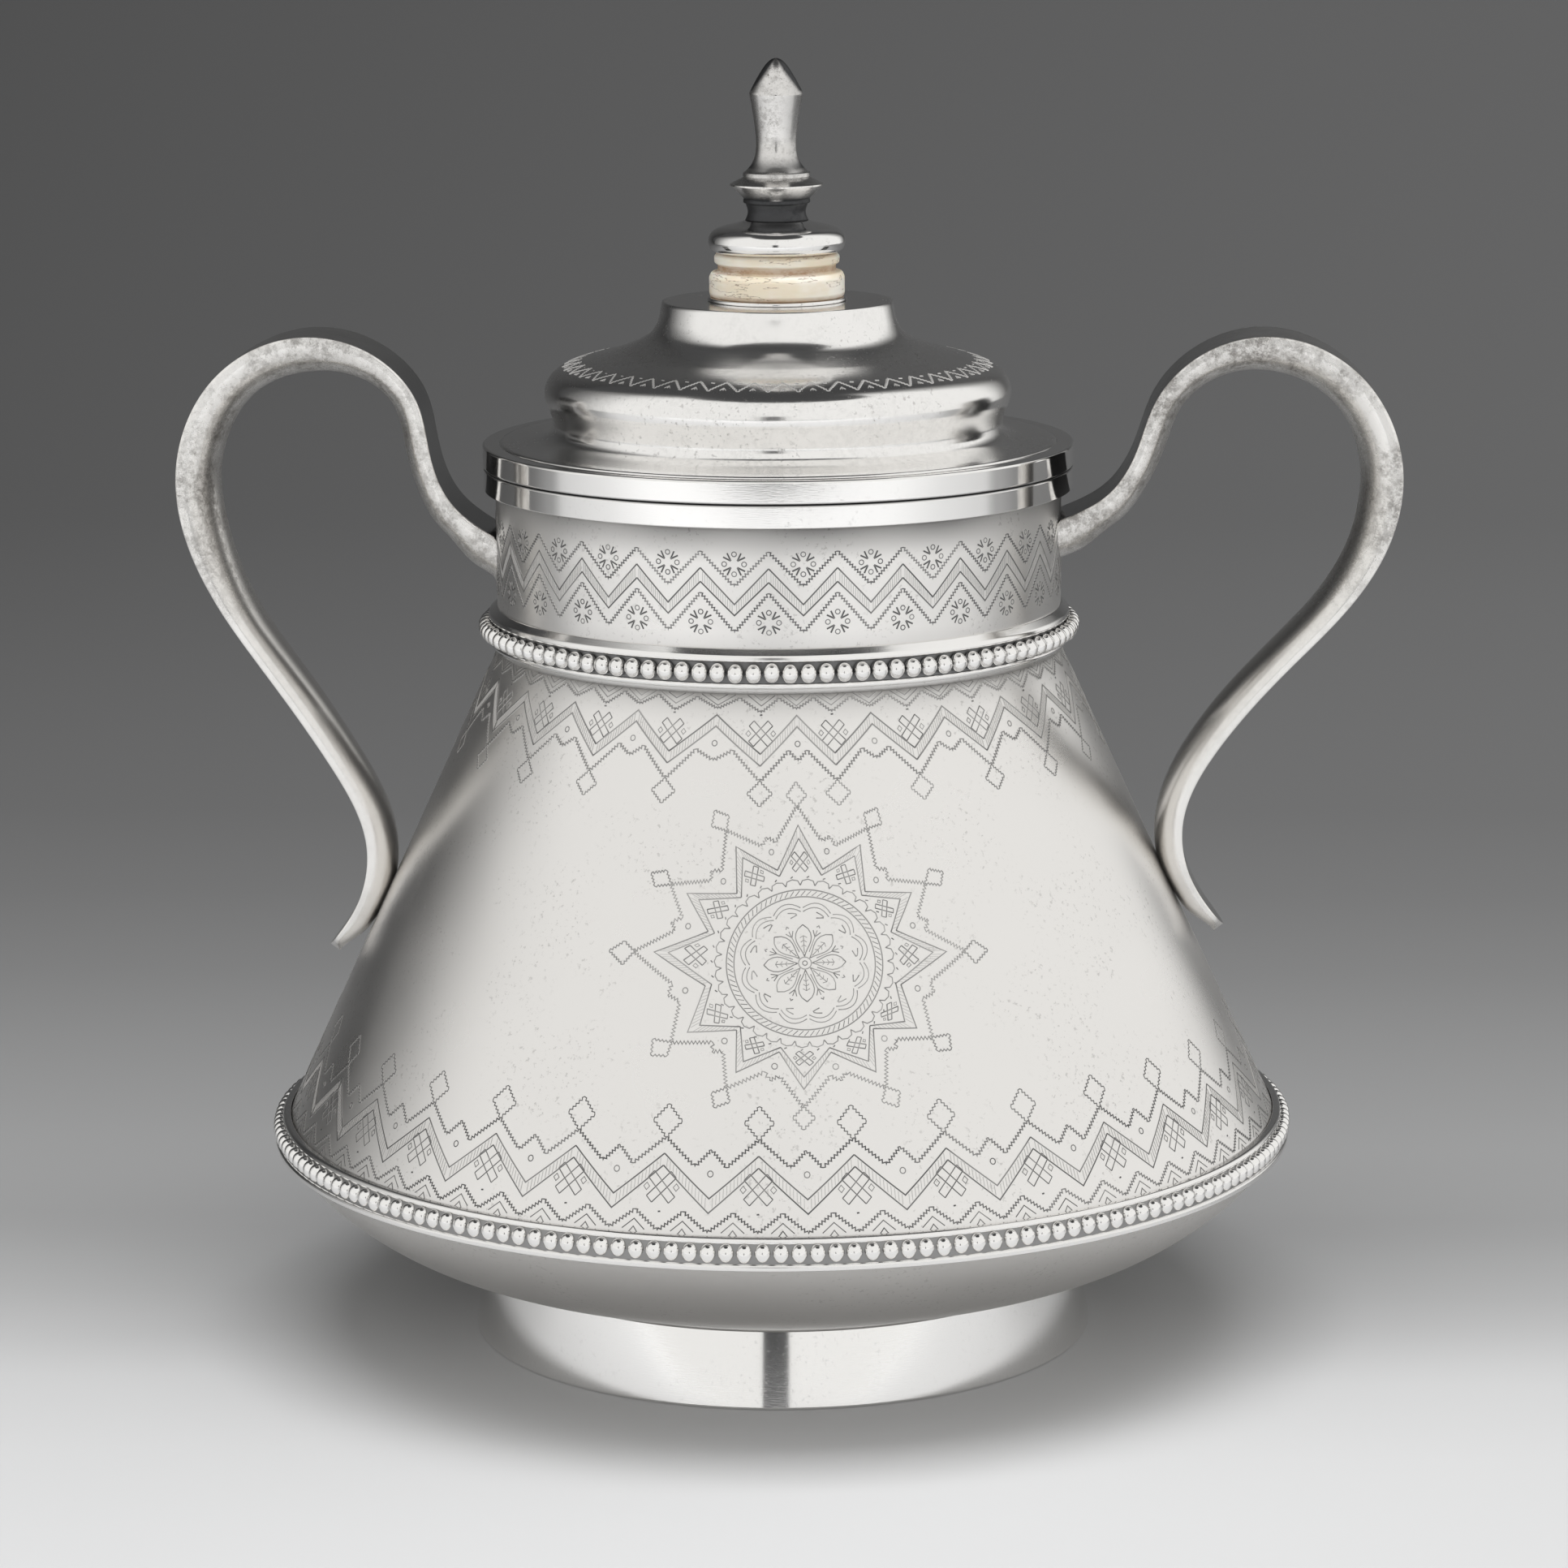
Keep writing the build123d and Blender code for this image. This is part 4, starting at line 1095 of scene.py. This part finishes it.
def upper_band():
    """Below the upper beading: chevrons, a ladder zigzag with woven crosses, and hanging lozenges."""
    cuts = Cuts(on_cone, 0.8)
    repeats, phase = 24, math.radians(-2.6)
    step = TURN / repeats
    places = [phase + k * step for k in range(repeats + 1)]
    slip = math.radians(1.7)  # the motif in the middle of the front was set out a little to the right
    places[0] += slip
    places[-1] += slip
    drop = math.radians(5.0)
    for k in range(repeats):
        a, c = places[k], places[k + 1]
        b = (a + c) / 2
        cuts.lozenge(cuts.local(a, 83.5, cone_r(83.5)), 1.6, 1.5)
        cuts.wriggle((a, 84.95), (a + drop, 88.68), (b, 87.43), (c - drop, 88.68), (c, 84.95), radius=43)
        cuts.ring(b, 89.5, 0.34, 42)
        cuts.line((a, 86.84), (b, 91.56), (c, 86.84))
        cuts.line((a, 88.28), (b, 92.92), (c, 88.28))
        cuts.ladder((a, 86.84), (b, 91.56), (a, 88.28), (b, 92.92))
        cuts.ladder((b, 91.56), (c, 86.84), (b, 92.92), (c, 88.28))
        cuts.woven_cross(cuts.local(a, 90.75, 41), 1.3)
        cuts.dot(a, 93.0, 40)
        quarter = (c - a) / 4
        crests = (a, 93.3), (a + quarter, 95.0), (b, 93.7), (b + quarter, 95.0), (c, 93.3)
        cuts.wriggle(*crests, radius=39.5, pitch=0.42, swing=0.13)
        for m in (a, b):
            for share, apex in ((0.8, 94.1), (0.42, 94.75)):
                w = share * quarter
                cuts.line((m - w, 95.4), (m, apex), (m + w, 95.4), half_width=0.11)
    cuts.build("upper_band_engraving", "bowl", "silver_satin", ENGRAVED)


def lower_band():
    """Above the lower beading: the same ornament turned upside down and drawn larger."""
    cuts = Cuts(on_cone)
    repeats, phase = 33, math.radians(-0.1)
    step = TURN / repeats
    for k in range(repeats):
        a = phase + k * step
        b, c = a + step / 2, a + step
        cuts.lozenge(cuts.local(a, 44.5, cone_r(44.5)), 1.85, 1.95)
        fall = math.radians(3.65)
        for side in (-1, 1):
            cuts.wriggle((a, 42.6), (a + side * fall, 39.3), (a + side * step / 2, 41.3), radius=63)
        cuts.ring(b, 38.5, 0.36, 64)
        cuts.line((a, 40.67), (b, 35.62), (c, 40.67), half_width=0.14)
        cuts.line((a, 39.28), (b, 33.93), (c, 39.28), half_width=0.14)
        cuts.ladder((a, 40.67), (b, 35.62), (a, 39.28), (b, 33.93))
        cuts.ladder((b, 35.62), (c, 40.67), (b, 33.93), (c, 39.28))
        cuts.woven_cross(cuts.local(a, 36.75, 65.5), 1.55)
        cuts.dot(a, 33.9, 66.5)
        side = math.radians(2.7)
        cuts.wriggle((a, 31.7), (a + side, 34.0), (b, 31.7), (c - side, 34.0), (c, 31.7), radius=67)
        for m in (a + side, c - side):
            for drop in (1.1, 2.0):
                w = math.radians(1.75 - 0.45 * drop)
                peak = 34.0 - drop
                cuts.line((m - w, peak - 1.2), (m, peak), (m + w, peak - 1.2), half_width=0.1)
    cuts.build("lower_band_engraving", "bowl", "silver_satin", ENGRAVED)


class Medallion:
    """Flat polar drawing wrapped on the cone round a centre, without stretch."""

    angle, height, turn = math.radians(5.85), 63.3, math.radians(-1.5)
    # the star's points were set out by eye: bearing in degrees and relative reach of each
    bearings = [-1, 24, 54, 84, 123, 151, 182, 211, 239, 278, 306, 334, 359]
    reaches = [1.055, 0.99, 0.93, 0.995, 0.90, 0.945, 0.955, 0.945, 0.945, 1.04, 0.975, 1.01, 1.055]

    def __init__(self):
        self.far = cone_r(self.height) / math.sin(CONE_TILT)
        self.cuts = Cuts(on_cone, 0.75)

    def star(self, r, a):
        """A place on the star, nominal bearing a, moved to where the engraver set its point."""
        nominal = np.linspace(0, TURN, 13)
        bearing = math.radians(np.interp(a % TURN, nominal, self.bearings))
        reach_here = r * (1 + (np.interp(a % TURN, nominal, self.reaches) - 1) * min(1, (r - 10) / 4))
        return self.flat(reach_here * math.sin(bearing), reach_here * math.cos(bearing))

    def flat(self, right, up):
        """Angle and height of a place in the drawing, which was set out a little wide."""
        x = right * (1.035 + 0.055 * min(max(math.hypot(right, up) - 10, 0) / 6, 1))
        y = up * 0.985
        reach_down = math.hypot(self.far - y, x)
        swing = math.atan2(x, self.far - y)
        z = self.height + (self.far - reach_down) * math.cos(CONE_TILT)
        return self.angle + swing / math.sin(CONE_TILT), z

    def polar(self, r, a):
        a += self.turn
        return self.flat(r * math.sin(a), r * math.cos(a))

    def within(self, a):
        """A frame inside one point of the star: millimetres across and outwards."""
        return lambda x, y: self.star(13.0 + y, a + x / (13.0 + y))

    def circle(self, r, half_width=0.12, steps=72):
        self.cuts.stroke([self.polar(r, TURN * k / steps) for k in range(steps)], half_width, True)

    def wriggle(self, *places, pitch=0.46, swing=0.2):
        corners = [self.star(*p) for p in places]
        self.cuts.wriggle(*corners, radius=cone_r(self.height), pitch=pitch, swing=swing, half_width=0.11)

    def line(self, *places, **kw):
        self.cuts.line(*[self.polar(*p) for p in places], **kw)


def medallion():
    """Twelve-pointed star round a roped ring; the ring holds a leaf border and a plain rosette."""
    m = Medallion()
    points = 12
    step = TURN / points
    m.circle(8.8)
    m.circle(9.75)
    rope_cuts, scallops = 84, 36
    for k in range(rope_cuts):
        a = TURN * k / rope_cuts
        m.line((8.95, a), (9.6, a + 0.06), half_width=0.07)
    for k in range(scallops):
        a, b = TURN * k / scallops, TURN * (k + 0.5) / scallops
        rising, falling = (10.95, a + 0.3 * (b - a)), (10.95, b + 0.7 * (b - a))
        m.line((10.35, a), rising, (11.15, b), falling, (10.35, 2 * b - a), half_width=0.1)
        m.line((11.35, b - 0.012), (11.55, b + 0.012), half_width=0.11)
    for k in range(points):
        a = k * step
        b = a + step / 2
        for inset in (0.0, 1.35):
            outer, inner = 17.4 - 1.25 * inset, 12.5 - 0.55 * inset
            m.cuts.line(m.star(inner, b - step), m.star(outer, a), m.star(inner, b), half_width=0.12)
        for side in (-1, 1):
            valley, tip = m.star(12.5, a + side * step / 2), m.star(17.4, a)
            inner_valley, inner_tip = m.star(11.76, a + side * step / 2), m.star(15.7, a)
            m.cuts.ladder(valley, tip, inner_valley, inner_tip)
        m.cuts.woven_cross(m.within(a), 0.95)
        centre = m.star(14.8, b)
        m.cuts.ring(centre[0], centre[1], 0.34, cone_r(m.height))
        for side in (-1, 1):
            m.wriggle((19.9, a), (15.9, a + side * 0.2), (16.8, a + side * step / 2))
        m.wriggle((22.9, a), (21.35, a + 0.063), (19.8, a), (21.35, a - 0.063), (22.9, a), swing=0.12)
    rosette(m)
    m.cuts.build("medallion_engraving", "bowl", "silver_satin", ENGRAVED)


def rosette(m):
    """A leafy border of scallops and, inside it, a plain eight-petalled flower."""
    for k in range(12):
        a = TURN * k / 12
        for inner, bulge in ((7.25, 0.85), (6.75, 0.75)):
            run = np.linspace(0.04, 0.96, 9)
            arc = [(inner + bulge * math.sin(math.pi * t), a + TURN / 12 * t) for t in run]
            m.line(*arc, half_width=0.09)
        curl = [(6.9 - 0.75 * t, a + TURN / 24 + 0.16 * math.sin(3 * t)) for t in np.linspace(0, 1, 6)]
        m.line(*curl, half_width=0.1)
    for k in range(8):
        a = TURN * k / 8
        for side in (-1, 1):
            run = np.linspace(0, 1, 9)
            petal = [(0.9 + 4.2 * t, a + side * 0.30 * math.sin(math.pi * t) ** 0.8) for t in run]
            m.line(*petal, half_width=0.1)
        m.line((1.4, a), (3.6, a), half_width=0.08)
        for t in (2.2, 2.8, 3.4):
            m.line((t, a - 0.13), (t + 0.25, a), (t, a + 0.13), half_width=0.06)
        sprig = a + TURN / 16
        m.line((1.6, sprig), (4.6, sprig), half_width=0.08)
        for side in (-1, 1):
            m.line((3.7, sprig), (4.5, sprig + side * 0.11), half_width=0.09)
        m.line((5.0, sprig - 0.04), (5.25, sprig + 0.0), (5.0, sprig + 0.04), half_width=0.1)
    m.circle(0.8, 0.1, 16)
    m.circle(0.3, 0.1, 10)


def lid_zigzag():
    """A toothed zigzag round the cavetto, with short cuts in its angles."""
    cuts = Cuts(on_lid)
    repeats, middle_r = 46, 27.8
    step = TURN / repeats
    for k in range(repeats):
        a = k * step
        b = a + step / 2
        zigzag = (a, 29.1), (b, 26.6), (a + step, 29.1)
        cuts.wriggle(*zigzag, radius=middle_r, pitch=0.42, swing=0.1, half_width=0.1)
        for tilt in (-0.4, 0.0, 0.4):
            cuts.line((b, 28.3), (b + tilt / middle_r, 28.9), half_width=0.09)
        cuts.line((a - 0.01, 26.9), (a + 0.01, 27.0), half_width=0.12)
    cuts.build("lid_engraving", "lid", "silver_polished", LID_CUTS)


# ---------------------------------------------------------------- stage, light and camera
def paper_painted_falloff():
    """Pale paper graded to dark grey behind the bowl, a little lighter on the right: both are painted
    fall-off of the studio light.
    """
    n = Nodes("paper_painted_falloff")
    spot = n.parts_of(n.place())
    front, back = -0.6, 1.4
    ramp = n.add("ShaderNodeValToRGB", Fac=n.linear(spot["Y"], front, back))
    stops = [
        # distance behind the bowl's axis, grey (the grade paints the fall-off of the light)
        (-0.60, 0.93), (-0.36, 0.74), (-0.09, 0.645), (-0.06, 0.63), (-0.028, 0.585), (0.008, 0.425),
        (0.045, 0.32), (0.09, 0.305), (0.146, 0.255), (0.203, 0.205), (0.269, 0.17), (0.345, 0.15),
        (0.54, 0.148), (0.85, 0.15), (1.40, 0.14),
    ]
    band = ramp.color_ramp
    while len(band.elements) < len(stops):
        band.elements.new(0.5)
    for element, (y, grey) in zip(band.elements, stops):
        element.position = (y + 0.6) / 2.0
        element.color = (grey * 0.985, grey * 0.99, grey, 1)
    # painted light: the paper is drawn a little lighter to the right, more so further back
    reach_back = n.linear(spot["Y"], -0.1, 0.6, -0.04, 0.215)
    side = n.times(n.linear(spot["X"], -0.35, 0.35, -1.0, 1.0), reach_back)
    painted_light_tone = n.add("ShaderNodeVectorMath", operation="SCALE", Scale=n.plus(side, 1.0))
    n.feed(ramp.outputs["Color"], painted_light_tone.inputs[0])
    return n.surface(painted_light_tone.outputs["Vector"], 0.8, None, 0.0, Specular_IOR_Level=0.2)


def ribbon(name, pairs, material):
    """A sheet of the stage stretched between two edges, given as pairs of places in metres."""
    mesh = bpy.data.meshes.new(name)
    faces = [(2 * k - 2, 2 * k - 1, 2 * k + 1, 2 * k) for k in range(1, len(pairs))]
    mesh.from_pydata([place for pair in pairs for place in pair], [], faces)
    mesh.materials.append(material)
    sheet = bpy.data.objects.new(name, mesh)
    bpy.context.scene.collection.objects.link(sheet)
    return mesh


def build_backdrop():
    """A pale table that sweeps up behind the bowl."""
    half_width, bend, bend_start = 1.6, 0.9, 0.75
    profile = [(-0.9, 0.0), (0.0, 0.0), (bend_start, 0.0)]
    for k in range(1, 25):
        a = math.pi / 2 * k / 24
        profile.append((bend_start + bend * math.sin(a), bend - bend * math.cos(a)))
    profile.append((bend_start + bend, 1.6))
    pairs = [[(-half_width, y, z), (half_width, y, z)] for y, z in profile]
    mesh = ribbon("backdrop", pairs, paper_painted_falloff())
    mesh.polygons.foreach_set("use_smooth", [True] * len(mesh.polygons))


def glowing(name, strength, start, end, floor_share):
    """White cloth lit from behind, full until one bearing and fading to another."""
    n = Nodes(name)
    spot = n.parts_of(n.place())
    bearing = n.maths("ARCTAN2", n.maths("ABSOLUTE", spot["X"]), n.times(spot["Y"], -1.0))
    power = n.ramp(bearing, math.radians(start), math.radians(end), strength, strength * floor_share)
    light = n.add("ShaderNodeEmission", Color=(1.0, 0.995, 0.98, 1), Strength=power)
    return n.finish(light, "Emission")


def light_wall(name, side, first, last, bottom, material):
    """A curved wall of lit cloth round the bowl, between two bearings in degrees."""
    steps, radius, wall_top = 40, 1.15, 2.8
    pairs = []
    for k in range(steps + 1):
        a = side * math.radians(first + (last - first) * k / steps)
        pairs.append([(radius * math.sin(a), -radius * math.cos(a), z) for z in (wall_top, bottom)])
    ribbon(name, pairs, material)


def softbox(name, place, aim, size, power, reflected=True):
    data = bpy.data.lights.new(name, "AREA")
    data.shape = "RECTANGLE"
    data.size, data.size_y = size
    data.energy = power
    lamp = bpy.data.objects.new(name, data)
    lamp.location = place
    lamp.rotation_euler = (Vector(aim) - Vector(place)).to_track_quat("-Z", "Y").to_euler()
    lamp.visible_glossy = reflected
    bpy.context.scene.collection.objects.link(lamp)


def set_world(strength):
    world = bpy.data.worlds.new("studio_dark")
    world.use_nodes = True
    background = world.node_tree.nodes["Background"]
    background.inputs["Color"].default_value = (0.97, 0.98, 1.0, 1)
    background.inputs["Strength"].default_value = strength
    bpy.context.scene.world = world


def build_camera():
    """The viewing angle: a little to the right of the front, looking down by 11.5 degrees."""
    round_by, down, roll = math.radians(2.5), math.radians(11.52), math.radians(0.31)
    level = math.cos(down)
    ahead = Vector((-math.sin(round_by) * level, math.cos(round_by) * level, -math.sin(down)))
    right = ahead.cross(Vector((0, 0, 1))).normalized()
    up = right.cross(ahead)
    tilted_right = right * math.cos(roll) - up * math.sin(roll)
    tilted_up = up * math.cos(roll) + right * math.sin(roll)
    data = bpy.data.cameras.new("camera")
    data.lens, data.sensor_width, data.sensor_height = 117.35, 36.0, 36.0
    data.clip_start, data.clip_end = 0.05, 20.0
    camera = bpy.data.objects.new("camera", data)
    turn = Matrix((tilted_right, tilted_up, -ahead)).transposed().to_4x4()
    camera.matrix_world = Matrix.Translation((0.03059, -0.6879, 0.2162)) @ turn
    bpy.context.scene.collection.objects.link(camera)
    bpy.context.scene.camera = camera


# ---------------------------------------------------------------- everything
build_foot()
build_collar()
build_pan()
build_cone()
build_neck()
build_rim()
build_upper_moulding()
build_lower_moulding()
build_lid()
build_lid_band()
build_plate()
build_bone()
build_bun()
build_knob()
finish_inner_fittings()
build_handle("handle_left_cast", -1, -1.35, -1.7, 0.4, "handle_left")
build_handle("handle_right_cast", 1, 1.35, 1.7, 0.4, "handle_right")
neck_band()
upper_band()
lower_band()
medallion()
lid_zigzag()

build_backdrop()
set_world(0.06)
light_wall("light_wall_left", -1, 4.6, 125, 0.0, glowing("lit_cloth_left", 0.88, 80, 125, 0.15))
light_wall("light_wall_right", 1, 4.6, 152, 0.0, glowing("lit_cloth_right", 0.90, 128, 152, 0.2))
light_wall("light_wall_above", 1, -4.6, 4.6, 0.38, glowing("lit_cloth_above", 0.88, 90, 91, 1.0))
softbox("overhead_fill", (0.05, -0.25, 1.6), (0, 0, 0), (1.3, 1.0), 20, reflected=False)
build_camera()
bpy.context.scene.view_settings.view_transform = "Standard"
